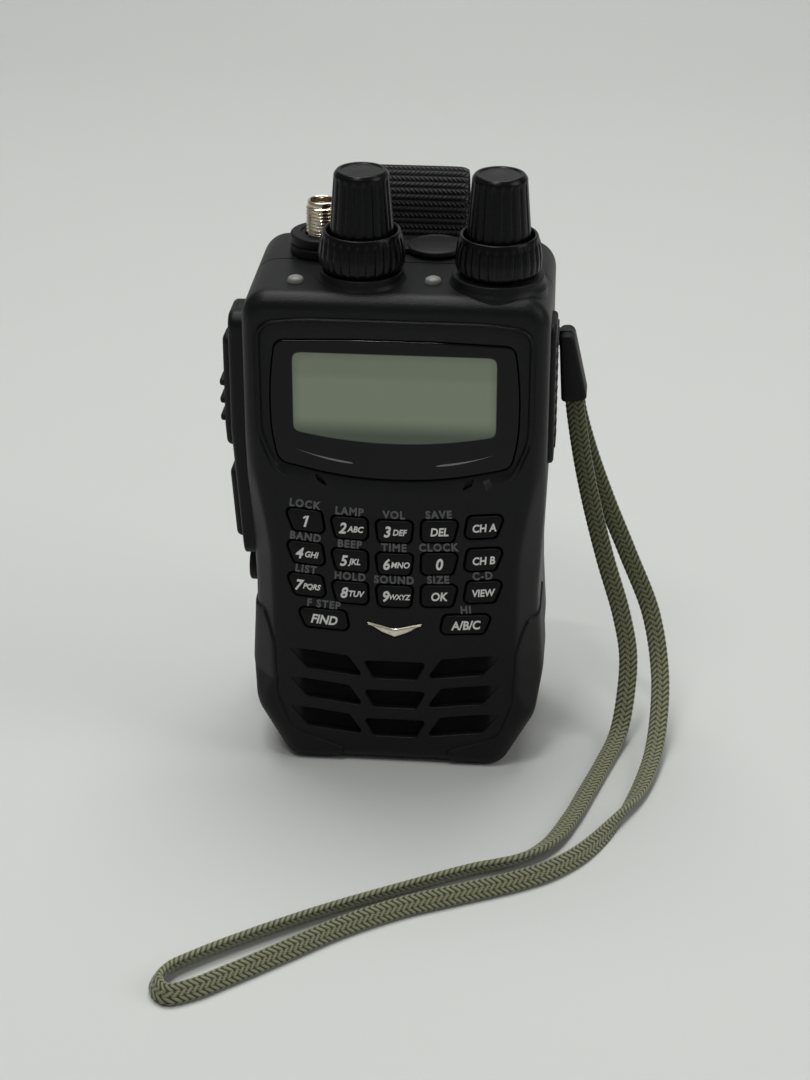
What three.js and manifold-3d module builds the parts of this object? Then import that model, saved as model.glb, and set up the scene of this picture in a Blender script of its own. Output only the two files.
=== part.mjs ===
// A handheld wideband air-band receiver, standing on its base.
//
// Frame, in millimetres: +X to the right of someone reading the display, +Y away from them, +Z up.
// The origin is the middle of the base, on the surface that the receiver stands on.
// Every piece of the receiver is one closed solid in one named mesh.

import * as THREE from "three";
import { mergeVertices } from "three/addons/utils/BufferGeometryUtils.js";
import Module from "manifold-3d";

const wasm = await Module();
wasm.setup();

// ---------------------------------------------------------------- driving dimensions

const GAP = 0.3; // between neighbours that stay still
const KEY_GAP = 0.35; // round a key in its pocket
const FAR = 200; // reach of a cutter that must pass right through

const WIDTH = 60;
const HEIGHT = 104;
const FRONT_Y = -19;
const BACK_Y = 19;
const SEAM_Y = 1; // front case ends here
const WALL = 2;
const EDGE = 3.3; // rounding of the front edge
const BACK_EDGE = 3;
const SIDE_X = WIDTH / 2;

const OUTLINE = {
  floorInset: 8.2, // the flat of the base stops this far inside the side
  floorRadius: 4.4,
  cornerInset: 1.4,
  cornerRise: 12.5,
  bulgeRise: 20,
  waistInset: 1,
  waistRise: 36,
  shoulderRise: 64,
  topRadius: 5.5,
};

const FACET = {
  margin: 3.3, // of flat face left beside the keypad
  sideDepth: 6.5,
  low: 8, // the facets start here, reach their full depth at lowFull, and end again above
  lowFull: 19,
  highFull: 46,
  high: 68,
  reach: 12,
};

// Heights on the display are measured down from the top of the case.
const LENS = {
  width: 49,
  top: 9.6,
  bottomCorner: 35.3,
  bottom: 38.7,
  waist: 14, // the widest place, above the bottom corners
  taperTop: 1.2,
  taperLow: 2,
  corner: 3,
  thickness: 1.2,
  sink: 0.7,
};
const BEZEL = { margin: 1.7, top: 5.6, sideLow: 32, notch: 39.5, notchX: 14.5, depth: 0.5 };
const LCD = { width: 42, height: 20.7, drop: 11, depth: 2.4 };
const DISPLAY_FRAME = { margin: 0.9, low: 42, high: 6.5, depth: 2.6 };

const KEY = {
  width: 7.4,
  height: 4.8,
  columnGap: 1.55,
  rowGap: 2.5,
  lift: 0.43, // rise of a column, times the square of its number from the middle
  fromTop: 49.8, // middle key of the first row
  corner: 0.9,
  proud: 0.3,
  depth: 2.7,
  bevel: 0.35,
  travel: 0.6,
};
const WIDE_KEY = { offset: 14.5, below: 5.9, width: 10, height: 4.2 };

const CHEVRON = { half: 5.9, rise: 3.1, web: 1.8, belowKeys: 3.4, proud: 0.15, sink: 0.6 };
const GRILLE = {
  rows: 3,
  pitch: 6.9,
  top: 24.3,
  height: 4.1,
  half: 6.1, // half width of a middle slot
  tip: 21.8,
  foot: 18.2,
  corner: 0.6,
};
const BUMPER = {
  skin: 1,
  proud: 0.4,
  top: 35.5,
  edgeRise: 28,
  lowInset: 5.8,
  lowRise: 16,
  footInset: 19.2,
  footRise: 3.7,
};

const MAT = { margin: 0.6, above: 2.18, below: 4.1, thickness: 1.2 };
const SPEAKER = { radius: 11.2, z: 15.6, basket: 1.8, magnetRadius: 6, depth: 4.4 };
const BOARD = { inset: 8.5, low: 5, belowTop: 13.2, thickness: 1.2, behindSpeaker: 0.6 };
const RADIO_BOARD = { inset: 8.5, low: 10, belowTop: 15, thickness: 1.2, y: -2 };
const SHIELD_CAN = { half: 15, low: 30, high: 70, depth: 4 };

const KNOBS = [
  { name: "a", x: -7.2, y: -8.2, collarRadius: 8.1 },
  { name: "b", x: 19.4, y: -8.5, collarRadius: 9 },
];
const COLLAR_RISE = 2;
const RING = {
  radius: 8.35,
  footInset: 1.15,
  rimInset: 0.85,
  cupClearance: 0.55, // between the dial's foot and the ring's cup
  height: 7.6,
  cupDepth: 2.4,
  lift: 0.5,
};
const DIAL = { foot: 6.35, head: 5.3, top: 4.7, height: 14, inset: 0.35 };
const SHAFT = {
  dial: 1.5, // radii of the inner shaft, the hollow outer shaft and the bush round them
  ring: 2.6,
  bush: 3.6,
  body: 5.4, // half of the encoder's square body
  bodyHeight: 6.5,
  belowWall: 3.5,
  clearance: 0.3,
  depth: 6,
};

const LIGHTS = [
  { name: "status_light_left", x: -19.9, y: -11.2 },
  { name: "status_light_right", x: 6.8, y: -9.5 },
];
const LIGHT_RADIUS = 1.7;

const ANTENNA = {
  x: -16.7,
  y: 6.4,
  radius: 3.175, // over a 1/4-36 thread
  rise: 10.8,
  sunk: 6,
  seat: 6.4,
  seatRise: 3.9,
  groove: 0.5,
  socket: 2.3,
  socketDepth: 4,
  post: 0.65,
};
const EAR_JACK = { x: 6, y: 8.3, radius: 3, bore: 1.95, depth: 8 };
const JACK_COVER = {
  radius: 5.8,
  thickness: 1.4,
  tabReach: 9.4,
  tabHalf: 2.7,
  tabThickness: 0.9,
  plugClearance: 0.35,
  plugDepth: 1.2,
};

const SIDE_KEYS = {
  y: -6.6,
  half: 3.3,
  frameHalf: 5.6,
  frameRise: 3.6,
  frameSunk: 1,
  lift: 5.2,
  corner: 1.3,
  stem: 1.2,
  stemDepth: 3.4,
  ribRise: 0.8,
  ribHalf: 0.8,
  travel: 0.8,
};
const SIDE_FRAME = { low: 43.8, high: 97 };
const SIDE_LEAN = { low: 40, high: 72, drop: 2.2 }; // the keys and their frame lean inwards, downwards
const SIDE_KEY_SPANS = [
  { name: "side_key_upper", low: 67.5, high: 91.5, ribs: [73.5, 77.3, 81.1] },
  { name: "side_key_lower", low: 47, high: 62.5, ribs: [] },
];
const GRIP = { y: -5.5, half: 5.5, low: 66, high: 96, rise: 1.3, sunk: 1 };
const POWER_JACK = { y: -4.2, z: 38.6, radius: 2.9, bore: 1.7, depth: 6 };
const POWER_COVER = { radius: 3.6, thickness: 1.5, standOff: 0.5, tether: 3.5 };

const BATTERY = { top: 77.6, frontY: 9, wall: 1.6, cellHalf: 21, cellLow: 14, cellBelowTop: 5.6 };
const LATCH = { half: 7, aboveBattery: 2, height: 5, depth: 1.6, proud: 0.8, travel: 2.5 };
const SCREW = {
  inset: 5.3,
  lowZ: 24,
  belowBattery: 7.6, // of the upper pair, from the top of the battery
  head: 1.9,
  shank: 1,
  length: 13,
  boss: 2.2,
  y: 8,
};

const STRAP = {
  width: 23.4,
  thickness: 1.5,
  anchorMargin: 3.3, // of each anchor's block beyond the strap's edge
  anchorDepth: 4.2,
  anchorHeight: 7,
  slotClearance: 0.4,
};
const STRAP_TOP_ANCHOR_Z = 90;
const STRAP_LOW_ANCHOR_Z = 5;
// Side view of the hand strap, as (y, z), from inside the upper anchor over the crest and down to the
// lower one.
const STRAP_ROUTE = [
  [21.3, 90.6],
  [21.4, 98],
  [21.8, 106],
  [22.9, 112.2],
  [26.2, 115.9],
  [30.6, 113.8],
  [34, 106],
  [36.5, 91],
  [37.6, 70],
  [37.4, 46],
  [35.4, 27],
  [30.5, 18.4],
  [24.6, 16],
  [21.6, 12.2],
  [21.3, 5.6],
];

const LUG = {
  y: 11,
  z: 85.4,
  reach: 2.9, // from the side of the case to the middle of the hole
  plate: 2,
  radius: 1.6,
  baseHalf: 3.2,
  baseHeight: 5,
  baseThickness: 0.8,
};
const CAP = {
  topReach: 2.7,
  topZ: 86.8,
  lowReach: 4.7,
  lowZ: 72.4,
  topHalf: 1.5,
  lowHalf: 2.7,
  depth: 7,
  pin: 0.6,
  pinClearance: 0.35,
  corner: 1.2,
  bevel: 0.7,
};
const CORD = { radius: 1.1, sides: 8, steps: 78 };
// The lanyard's centre line: from the cap down to the floor, out to the end of its loop, and back up
// to the cap.
const CORD_ROUTE = [
  [34.74, 9.5, 72.1],
  [35.3, 9.4, 68],
  [36.9, 9, 58.7],
  [39.1, 8, 49],
  [42.4, 6, 37.3],
  [46.2, 3, 26],
  [48, 0.6, 17.5],
  [47.8, -2.6, 9.5],
  [46.6, -7, 4.2],
  [43.9, -16.2, 2.7],
  [40.4, -28.4, 2.6],
  [37.3, -39, 2.6],
  [33.1, -49, 2.6],
  [27, -55.6, 2.6],
  [18, -60.2, 2.6],
  [5.4, -67.6, 2.6],
  [-9, -76.4, 2.6],
  [-21.8, -85.5, 2.6],
  [-30.4, -92.4, 2.6],
  [-34.8, -96.8, 2.6],
  [-36, -101, 2.6],
  [-33.6, -104, 2.6],
  [-29.5, -102.4, 2.6],
  [-23, -97.2, 2.6],
  [-14.1, -89.4, 2.6],
  [-4.6, -81, 2.6],
  [5.9, -73.8, 2.6],
  [17, -68.2, 2.6],
  [26.7, -63.4, 2.6],
  [33.5, -59, 2.6],
  [39.3, -52.8, 2.6],
  [43.9, -45, 2.6],
  [47.8, -36, 2.6],
  [51.8, -24.5, 2.9],
  [54.4, -11.5, 5],
  [55, 0, 12.5],
  [52.6, 7, 24.1],
  [47.2, 10.4, 36.5],
  [42, 12, 48.5],
  [38.1, 12.6, 59],
  [35.5, 12.5, 68],
  [34.74, 12.5, 72.1],
];

// ---------------------------------------------------------------- materials

const plastic = (color, roughness = 0.55) =>
  new THREE.MeshStandardMaterial({ color, roughness, metalness: 0 });
const metal = (color, roughness = 0.35) =>
  new THREE.MeshStandardMaterial({ color, roughness, metalness: 1 });

// ---------------------------------------------------------------- solids from three.js geometry

const X = new THREE.Vector3(1, 0, 0);
const Y = new THREE.Vector3(0, 1, 0);
const Z = new THREE.Vector3(0, 0, 1);

// A geometry's triangles as a manifold-3d solid. Shared points are merged, and a shape whose faces
// point inwards is turned round.
function solid(geometry) {
  const bare = geometry.clone();
  bare.deleteAttribute("normal");
  bare.deleteAttribute("uv");
  const merged = mergeVertices(bare, 1e-4);
  const index = merged.index.array;
  const triangles = [];
  for (let i = 0; i < index.length; i += 3) {
    const [a, b, c] = [index[i], index[i + 1], index[i + 2]];
    if (a !== b && b !== c && c !== a) triangles.push(a, b, c);
  }
  const build = (triVerts) =>
    new wasm.Manifold(
      new wasm.Mesh({
        numProp: 3,
        vertProperties: merged.attributes.position.array,
        triVerts: new Uint32Array(triVerts),
      }),
    );
  const made = build(triangles);
  return made.volume() < 0 ? build(triangles.reverse()) : made;
}

// The frame that an outline is drawn in, and the way it is extruded, for each axis:
// "y" draws in (x, z), "x" draws in (y, z) and "z" draws in (x, y).
const BASES = {
  x: new THREE.Matrix4().makeBasis(Y, Z, X),
  y: new THREE.Matrix4().makeBasis(X, Z, Y.clone().negate()),
  z: new THREE.Matrix4(),
};

// An outline carried along an axis from low to high, with both ends rounded by bevel.
function extrude(points, axis, low, high, bevel = 0, bevelSegments = 1) {
  const geometry = new THREE.ExtrudeGeometry(new THREE.Shape(points), {
    depth: high - low - 2 * bevel,
    bevelEnabled: bevel > 0,
    bevelThickness: bevel,
    bevelSize: bevel,
    bevelOffset: -bevel,
    bevelSegments,
  });
  geometry.applyMatrix4(BASES[axis]);
  const start = axis === "y" ? high - bevel : low + bevel;
  geometry.translate(...["x", "y", "z"].map((name) => (name === axis ? start : 0)));
  return solid(geometry);
}

function box(x0, x1, y0, y1, z0, z1) {
  const geometry = new THREE.BoxGeometry(x1 - x0, y1 - y0, z1 - z0);
  geometry.translate((x0 + x1) / 2, (y0 + y1) / 2, (z0 + z1) / 2);
  return solid(geometry);
}

// A turned piece: its profile holds (radius, height) pairs and starts and ends on the axis.
function turned(profile, x, y, segments = 20) {
  const geometry = new THREE.LatheGeometry(
    profile.map(([radius, height]) => new THREE.Vector2(radius, height)),
    segments,
  );
  geometry.rotateX(Math.PI / 2);
  geometry.translate(x, y, 0);
  return solid(geometry);
}

function rod(radius, axis, low, high, first, second, segments = 14) {
  const circle = new THREE.EllipseCurve(first, second, radius, radius).getPoints(segments);
  return extrude(circle.slice(0, segments), axis, low, high);
}

// ---------------------------------------------------------------- outlines

const corner = (x, z, radius = 0) => ({ point: new THREE.Vector2(x, z), radius });

// A closed outline through the corners, each rounded by its own radius.
function rounded(corners, stepAngle = 0.55) {
  const points = [];
  corners.forEach((here, i) => {
    const before = corners[(i + corners.length - 1) % corners.length].point;
    const after = corners[(i + 1) % corners.length].point;
    const back = before.clone().sub(here.point);
    const ahead = after.clone().sub(here.point);
    const turn = Math.PI - Math.acos(back.clone().normalize().dot(ahead.clone().normalize()));
    const shortest = 0.48 * Math.min(back.length(), ahead.length());
    const reach = Math.min(here.radius * Math.tan(turn / 2), shortest);
    if (reach < 0.02) {
      points.push(here.point.clone());
      return;
    }
    const radius = reach / Math.tan(turn / 2);
    const start = here.point.clone().addScaledVector(back.normalize(), reach);
    const end = here.point.clone().addScaledVector(ahead.normalize(), reach);
    const inward = start.clone().add(end).multiplyScalar(0.5).sub(here.point).normalize();
    const centre = here.point.clone().addScaledVector(inward, radius / Math.cos(turn / 2));
    const steps = Math.max(1, Math.ceil(turn / stepAngle));
    const from = start.clone().sub(centre);
    const side = Math.sign(from.cross(end.clone().sub(centre)));
    for (let k = 0; k <= steps; k++) {
      const angle = (side * turn * k) / steps;
      points.push(from.clone().rotateAround(new THREE.Vector2(), angle).add(centre));
    }
  });
  return points;
}

// The outline moved outwards by distance, or inwards where distance is negative.
function offset(points, distance) {
  const way = Math.sign(THREE.ShapeUtils.area(points));
  return points.map((here, i) => {
    const before = points[(i + points.length - 1) % points.length];
    const after = points[(i + 1) % points.length];
    const normals = [here.clone().sub(before), after.clone().sub(here)].map((edge) =>
      new THREE.Vector2(edge.y, -edge.x).normalize().multiplyScalar(way),
    );
    const mid = normals[0].clone().add(normals[1]).normalize();
    return here.clone().addScaledVector(mid, distance / mid.dot(normals[0]));
  });
}

// Corners given for the right half from bottom to top, completed by their mirror images.
const mirrored = (corners) => [
  ...corners,
  ...corners
    .slice()
    .reverse()
    .map(({ point, radius }) => corner(-point.x, point.y, radius)),
];

const flip = (points) => points.map((point) => new THREE.Vector2(-point.x, point.y)).reverse();

const caseOutline = rounded(
  mirrored([
    corner(SIDE_X - OUTLINE.floorInset, 0, OUTLINE.floorRadius),
    corner(SIDE_X - OUTLINE.cornerInset, OUTLINE.cornerRise, 9),
    corner(SIDE_X, OUTLINE.bulgeRise, 12),
    corner(SIDE_X - OUTLINE.waistInset, OUTLINE.waistRise, 60),
    corner(SIDE_X, OUTLINE.shoulderRise, 60),
    corner(SIDE_X, HEIGHT, OUTLINE.topRadius),
  ]),
);

// ---------------------------------------------------------------- the case

// The flat facets that pare the front corners away at the waist: a wedge, straight in the middle,
// and sheared outwards above and below until it leaves the case.
function waistFacets(inset) {
  const edge = new THREE.Vector2(faceEdge, FRONT_Y);
  const side = new THREE.Vector2(SIDE_X, FRONT_Y + FACET.sideDepth);
  const along = side.clone().sub(edge).normalize();
  const outward = new THREE.Vector2(along.y, -along.x);
  const start = edge.clone().addScaledVector(along, -FACET.reach).addScaledVector(outward, -inset);
  const end = side.clone().addScaledVector(along, FACET.reach).addScaledVector(outward, -inset);
  const wedge = [start, new THREE.Vector2(end.x, start.y), end];
  const spans = [
    [FACET.low, FACET.lowFull, -1],
    [FACET.lowFull, FACET.highFull, 0],
    [FACET.highFull, FACET.high, 1],
  ];
  let all = null;
  for (const [low, high, lean] of spans) {
    const slope = (lean * (SIDE_X - faceEdge)) / (high - low);
    const pivot = lean < 0 ? high : low;
    const geometry = new THREE.ExtrudeGeometry(new THREE.Shape(wedge), {
      depth: high - low,
      bevelEnabled: false,
    });
    geometry.translate(0, 0, low);
    const shear = new THREE.Matrix4().makeShear(0, 0, 0, 0, slope, 0);
    shear.premultiply(new THREE.Matrix4().makeTranslation(-slope * pivot, 0, 0));
    geometry.applyMatrix4(shear);
    const right = solid(geometry);
    geometry.scale(-1, 1, 1);
    const pair = right.add(solid(geometry));
    all = all ? all.add(pair) : pair;
  }
  return all;
}

// The front half of the case as a full block, its skin moved inwards by inset.
function frontBlock(inset, backY) {
  const bevel = EDGE - inset;
  const full = extrude(offset(caseOutline, -inset), "y", FRONT_Y + inset, backY + bevel, bevel, 2);
  return full
    .subtract(box(-FAR, FAR, backY, FAR, -FAR, FAR))
    .subtract(waistFacets(inset));
}

const lensHalf = LENS.width / 2;
const lensLow = HEIGHT - LENS.bottomCorner;
const lensTop = HEIGHT - LENS.top;
const lensOutline = rounded([
  corner(-lensHalf + LENS.taperLow, lensLow, LENS.corner),
  corner(-lensHalf / 3, HEIGHT - LENS.bottom + 0.4, 20),
  corner(lensHalf / 3, HEIGHT - LENS.bottom + 0.4, 20),
  corner(lensHalf - LENS.taperLow, lensLow, LENS.corner),
  corner(lensHalf, lensLow + LENS.waist, 30),
  corner(lensHalf - LENS.taperTop, lensTop, LENS.corner - 1),
  corner(0, lensTop + 0.7, 80),
  corner(-lensHalf + LENS.taperTop, lensTop, LENS.corner - 1),
  corner(-lensHalf, lensLow + LENS.waist, 30),
]);

const bezelSide = lensHalf + BEZEL.margin;
const bezelOutline = rounded(
  mirrored([
    corner(BEZEL.notchX, HEIGHT - BEZEL.notch, 2),
    corner(bezelSide - 2, HEIGHT - BEZEL.sideLow - 3.5, 5),
    corner(bezelSide, HEIGHT - BEZEL.sideLow, 8),
    corner(bezelSide, HEIGHT - BEZEL.top - 1, 3),
    corner(bezelSide - 8, HEIGHT - BEZEL.top, 40),
  ]),
);

// A key's outline round its own middle. Column 0 is a keystone; towards the sides the keys lean
// inwards as they go down, as the columns fan out.
function keyOutline(width, height, column) {
  const lean = Math.abs(column);
  const outer = Math.sign(column) || 1;
  return rounded([
    corner(outer * (width / 2 + 0.15 * lean), height / 2 + 0.22 * lean, KEY.corner),
    corner(-outer * (width / 2 - 0.3 * lean), height / 2 - 0.1 * lean, KEY.corner),
    corner(-outer * (width / 2 - 0.55 + 0.35 * lean), -height / 2 - 0.15 * lean, KEY.corner),
    corner(outer * (width / 2 - 0.55 - 0.4 * lean), -height / 2 + 0.15 * lean, KEY.corner),
  ]);
}

const place = (points, x, z) => points.map((point) => new THREE.Vector2(point.x + x, point.y + z));

const KEY_NAMES = [
  ["key_1", "key_2", "key_3", "key_clear", "key_main_band"],
  ["key_4", "key_5", "key_6", "key_0", "key_sub_band"],
  ["key_7", "key_8", "key_9", "key_enter", "key_spectrum"],
];

const SIDE_COLUMNS = 2; // on each side of the middle column
const keyPitchX = KEY.width + KEY.columnGap;
const keyPitchZ = KEY.height + KEY.rowGap;
const firstRowZ = HEIGHT - KEY.fromTop;
const keys = [];
KEY_NAMES.forEach((row, rowNumber) => {
  row.forEach((name, columnNumber) => {
    const column = columnNumber - SIDE_COLUMNS;
    const z = firstRowZ - rowNumber * keyPitchZ + KEY.lift * column * column;
    keys.push({ name, outline: place(keyOutline(KEY.width, KEY.height, column), column * keyPitchX, z) });
  });
});
const wideKeyZ = firstRowZ - (KEY_NAMES.length - 1) * keyPitchZ - WIDE_KEY.below;
const keypadHalf = SIDE_COLUMNS * keyPitchX + KEY.width / 2;
const faceEdge = keypadHalf + FACET.margin;
const keypadTop = firstRowZ + KEY.lift * SIDE_COLUMNS * SIDE_COLUMNS + KEY.height / 2;
const keypadLow = wideKeyZ - WIDE_KEY.height / 2;
for (const [name, side] of [
  ["key_scan", -1],
  ["key_mode", 1],
]) {
  const outline = keyOutline(WIDE_KEY.width, WIDE_KEY.height, SIDE_COLUMNS * side);
  keys.push({ name, outline: place(outline, side * WIDE_KEY.offset, wideKeyZ) });
}

const chevronZ = wideKeyZ - CHEVRON.belowKeys;
const chevronOutline = rounded([
  corner(-CHEVRON.half, chevronZ + CHEVRON.rise, 0.1),
  corner(-CHEVRON.half * 0.45, chevronZ + CHEVRON.rise * 0.3, 3),
  corner(0, chevronZ, 0.3),
  corner(CHEVRON.half * 0.45, chevronZ + CHEVRON.rise * 0.3, 3),
  corner(CHEVRON.half, chevronZ + CHEVRON.rise, 0.1),
  corner(0, chevronZ + CHEVRON.web, 3),
]);

// The nine openings of the speaker grille, three in a row.
const grilleSlots = [];
for (let row = 0; row < GRILLE.rows; row++) {
  const top = GRILLE.top - row * GRILLE.pitch;
  const low = top - GRILLE.height;
  const right = rounded([
    corner(GRILLE.half + 0.2, low + 0.3, GRILLE.corner),
    corner(GRILLE.foot, low + 1.8, 1.5),
    corner(GRILLE.tip, top + 2.6, 0.2),
    corner(GRILLE.half + 3.5, top + 0.9, GRILLE.corner),
  ]);
  const middle = rounded(
    mirrored([corner(GRILLE.half - 1.8, low, GRILLE.corner), corner(GRILLE.half, top, GRILLE.corner)]),
  );
  grilleSlots.push(middle, right, flip(right));
}

// What the rubber corner covers, seen from the front, for the right-hand side.
const bumperFootX = SIDE_X - BUMPER.footInset;
const bumperLowX = SIDE_X - BUMPER.lowInset;
const bumperOutline = rounded([
  corner(bumperFootX + 3.6, -2),
  corner(SIDE_X + 4, -2),
  corner(SIDE_X + 4, BUMPER.top),
  corner(SIDE_X - 0.4, BUMPER.top - 1.6, 1.5),
  corner(faceEdge, BUMPER.edgeRise, 4),
  corner(bumperLowX, BUMPER.lowRise, 8),
  corner(bumperLowX - 2.8, BUMPER.footRise + 3.9, 5),
  corner(bumperFootX, BUMPER.footRise, 0.8),
]);

// The rubber corner, or, grown by a clearance, the step of the case that it lies in.
function bumper(side, clearance) {
  const plan = offset(side > 0 ? bumperOutline : flip(bumperOutline), clearance);
  const reach = SEAM_Y - GAP + clearance;
  const floor = clearance > 0 ? -FAR : 0; // the piece ends level with the base, and its step runs on
  const field = extrude(plan, "y", FRONT_Y - 4, reach);
  const skin = frontBlock(-BUMPER.proud - clearance, reach).intersect(field);
  const core = frontBlock(BUMPER.skin + clearance, FAR);
  return skin.subtract(core).subtract(box(-FAR, FAR, -FAR, FAR, -FAR - 1, floor));
}

const screws = [];
for (const side of [-1, 1]) {
  for (const z of [SCREW.lowZ, BATTERY.top - SCREW.belowBattery]) screws.push({ x: side * (SIDE_X - SCREW.inset), z });
}
const bossTop = HEIGHT + COLLAR_RISE;
const keyFloorX = SIDE_X - SIDE_KEYS.frameSunk;
const sideFrameX = keyFloorX + GAP; // foot of the side key frame, in its shallow step

// The shallow step in a side that a long piece lies in.
const sideStep = (x0, x1, y, half, { low, high }) =>
  box(x0, x1, y - half - GAP, y + half + GAP, low - GAP, high + GAP);

function frontCase() {
  let body = frontBlock(0, SEAM_Y);
  let hollow = frontBlock(WALL, SEAM_Y + EDGE);
  const frame = DISPLAY_FRAME;
  const frameSide = lensHalf + frame.margin;
  const inner = FRONT_Y + WALL;
  hollow = hollow.subtract(
    box(-frameSide, frameSide, -FAR, inner + frame.depth, HEIGHT - frame.low, HEIGHT - frame.high),
  );
  for (const screw of screws) {
    hollow = hollow.subtract(rod(SCREW.boss, "y", FRONT_Y, SEAM_Y - GAP, screw.x, screw.z));
  }
  for (const knob of KNOBS) {
    const profile = [
      [0, HEIGHT - WALL - 2],
      [knob.collarRadius, HEIGHT - WALL - 2],
      [knob.collarRadius, bossTop - 0.5],
      [knob.collarRadius - 0.5, bossTop],
      [0, bossTop],
    ];
    body = body.add(turned(profile, knob.x, knob.y, 24));
  }
  body = body.subtract(hollow);
  const cuts = [
    extrude(bezelOutline, "y", FRONT_Y - 1, FRONT_Y + BEZEL.depth),
    extrude(offset(lensOutline, GAP), "y", FRONT_Y - 1, FRONT_Y + LENS.sink + LENS.thickness + GAP),
    lcdBox(GAP, FRONT_Y, inner + frame.depth + 1),
    extrude(offset(chevronOutline, GAP), "y", FRONT_Y - 1, FRONT_Y + CHEVRON.sink + GAP),
    bumper(1, GAP),
    bumper(-1, GAP),
    sideStep(-FAR, -keyFloorX, SIDE_KEYS.y, SIDE_KEYS.frameHalf, SIDE_FRAME),
    sideStep(SIDE_X - GRIP.sunk, FAR, GRIP.y, GRIP.half, GRIP),
    rod(POWER_JACK.radius + GAP, "x", -FAR, -SIDE_X + 6, POWER_JACK.y, POWER_JACK.z),
  ];
  for (const key of keys) {
    cuts.push(extrude(offset(key.outline, KEY_GAP), "y", FRONT_Y - 1, FRONT_Y + WALL + 1));
  }
  for (const slot of grilleSlots) {
    cuts.push(extrude(slot, "y", FRONT_Y - 1, FRONT_Y + WALL + 1));
  }
  for (const screw of screws) {
    cuts.push(rod(SCREW.shank + GAP, "y", SCREW.y - SCREW.length - 1, FAR, screw.x, screw.z, 12));
  }
  for (const knob of KNOBS) {
    cuts.push(rod(SHAFT.bush + GAP, "z", HEIGHT - WALL - 3, FAR, knob.x, knob.y, 20));
  }
  for (const light of LIGHTS) {
    cuts.push(rod(LIGHT_RADIUS + GAP, "z", HEIGHT - WALL - 1, FAR, light.x, light.y));
  }
  for (const span of SIDE_KEY_SPANS) {
    const z = (span.low + span.high) / 2;
    cuts.push(rod(SIDE_KEYS.stem + GAP + 0.1, "x", -FAR, -SIDE_X + 5, SIDE_KEYS.y, z, 12));
  }
  return cuts.reduce((rest, cut) => rest.subtract(cut), body);
}

// The display module's block, or with a clearance the window that it stands in.
function lcdBox(clearance, y0, y1) {
  const top = HEIGHT - LCD.drop + clearance;
  const half = LCD.width / 2 + clearance;
  return box(-half, half, y0, y1, top - LCD.height - 2 * clearance, top);
}

const latchLow = BATTERY.top + LATCH.aboveBattery;
const rearY = SEAM_Y + GAP;
const bayY = BATTERY.frontY - GAP; // the rear case's wall in front of the battery

// The rear half as a full block between two depths, rounded at the back.
function rearBlock(inset, y0, y1, bevel) {
  const full = extrude(offset(caseOutline, -inset), "y", y0 - bevel - 1, y1, bevel, 2);
  return full.subtract(box(-FAR, FAR, -FAR, y0, -FAR, FAR));
}

function rearCase() {
  const batteryCeiling = BATTERY.top + GAP;
  const bay = box(-FAR, FAR, bayY, FAR, -FAR, batteryCeiling);
  const lowHollow = rearBlock(WALL, 0, bayY - WALL, 0);
  const highHollow = rearBlock(WALL, 0, BACK_Y - WALL, 1).subtract(
    box(-FAR, FAR, -FAR, FAR, -FAR, batteryCeiling + WALL),
  );
  const latchHigh = latchLow + LATCH.height + LATCH.travel + GAP;
  const latchFloor = BACK_Y - LATCH.depth - GAP;
  let body = rearBlock(0, rearY, BACK_Y, BACK_EDGE)
    .subtract(bay)
    .subtract(lowHollow)
    .subtract(highHollow)
    .subtract(box(-LATCH.half - GAP, LATCH.half + GAP, latchFloor, FAR, latchLow - GAP, latchHigh))
    .subtract(rod(ANTENNA.radius + GAP, "z", HEIGHT - WALL - 3, FAR, ANTENNA.x, ANTENNA.y))
    .subtract(rod(EAR_JACK.radius + GAP, "z", HEIGHT - WALL - 3, FAR, EAR_JACK.x, EAR_JACK.y));
  for (const screw of screws) {
    body = body
      .subtract(rod(SCREW.shank + GAP, "y", -FAR, FAR, screw.x, screw.z, 12))
      .subtract(rod(SCREW.head + GAP, "y", SCREW.y - 1 - GAP, FAR, screw.x, screw.z));
  }
  return body;
}

function batteryCase() {
  const above = box(-FAR, FAR, -FAR, FAR, BATTERY.top, FAR);
  const hollowTop = box(-FAR, FAR, -FAR, FAR, BATTERY.top - BATTERY.wall, FAR);
  const block = rearBlock(0, BATTERY.frontY, BACK_Y, BACK_EDGE).subtract(above);
  const hollow = rearBlock(BATTERY.wall, 0, BACK_Y - BATTERY.wall, 1).subtract(hollowTop);
  return block.subtract(hollow);
}

// ---------------------------------------------------------------- knobs and what they turn

const ringZ = bossTop + RING.lift;
const ringTop = ringZ + RING.height;
const ringCup = DIAL.foot + RING.cupClearance;
const dialZ = ringTop - RING.cupDepth + GAP;
const dialTop = dialZ + DIAL.height;

function ringKnob(knob) {
  const profile = [
    [SHAFT.dial + SHAFT.clearance, ringZ - SHAFT.depth],
    [SHAFT.ring, ringZ - SHAFT.depth],
    [SHAFT.ring, ringZ],
    [RING.radius - RING.footInset, ringZ],
    [RING.radius, ringZ + 1.4],
    [RING.radius, ringTop - 0.9],
    [RING.radius - RING.rimInset, ringTop],
    [ringCup, ringTop - 0.3],
    [ringCup - 0.1, ringTop - RING.cupDepth],
    [SHAFT.dial + SHAFT.clearance, ringTop - RING.cupDepth],
    [SHAFT.dial + SHAFT.clearance, ringZ - SHAFT.depth],
  ];
  return turned(profile, knob.x, knob.y, 24);
}

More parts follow.
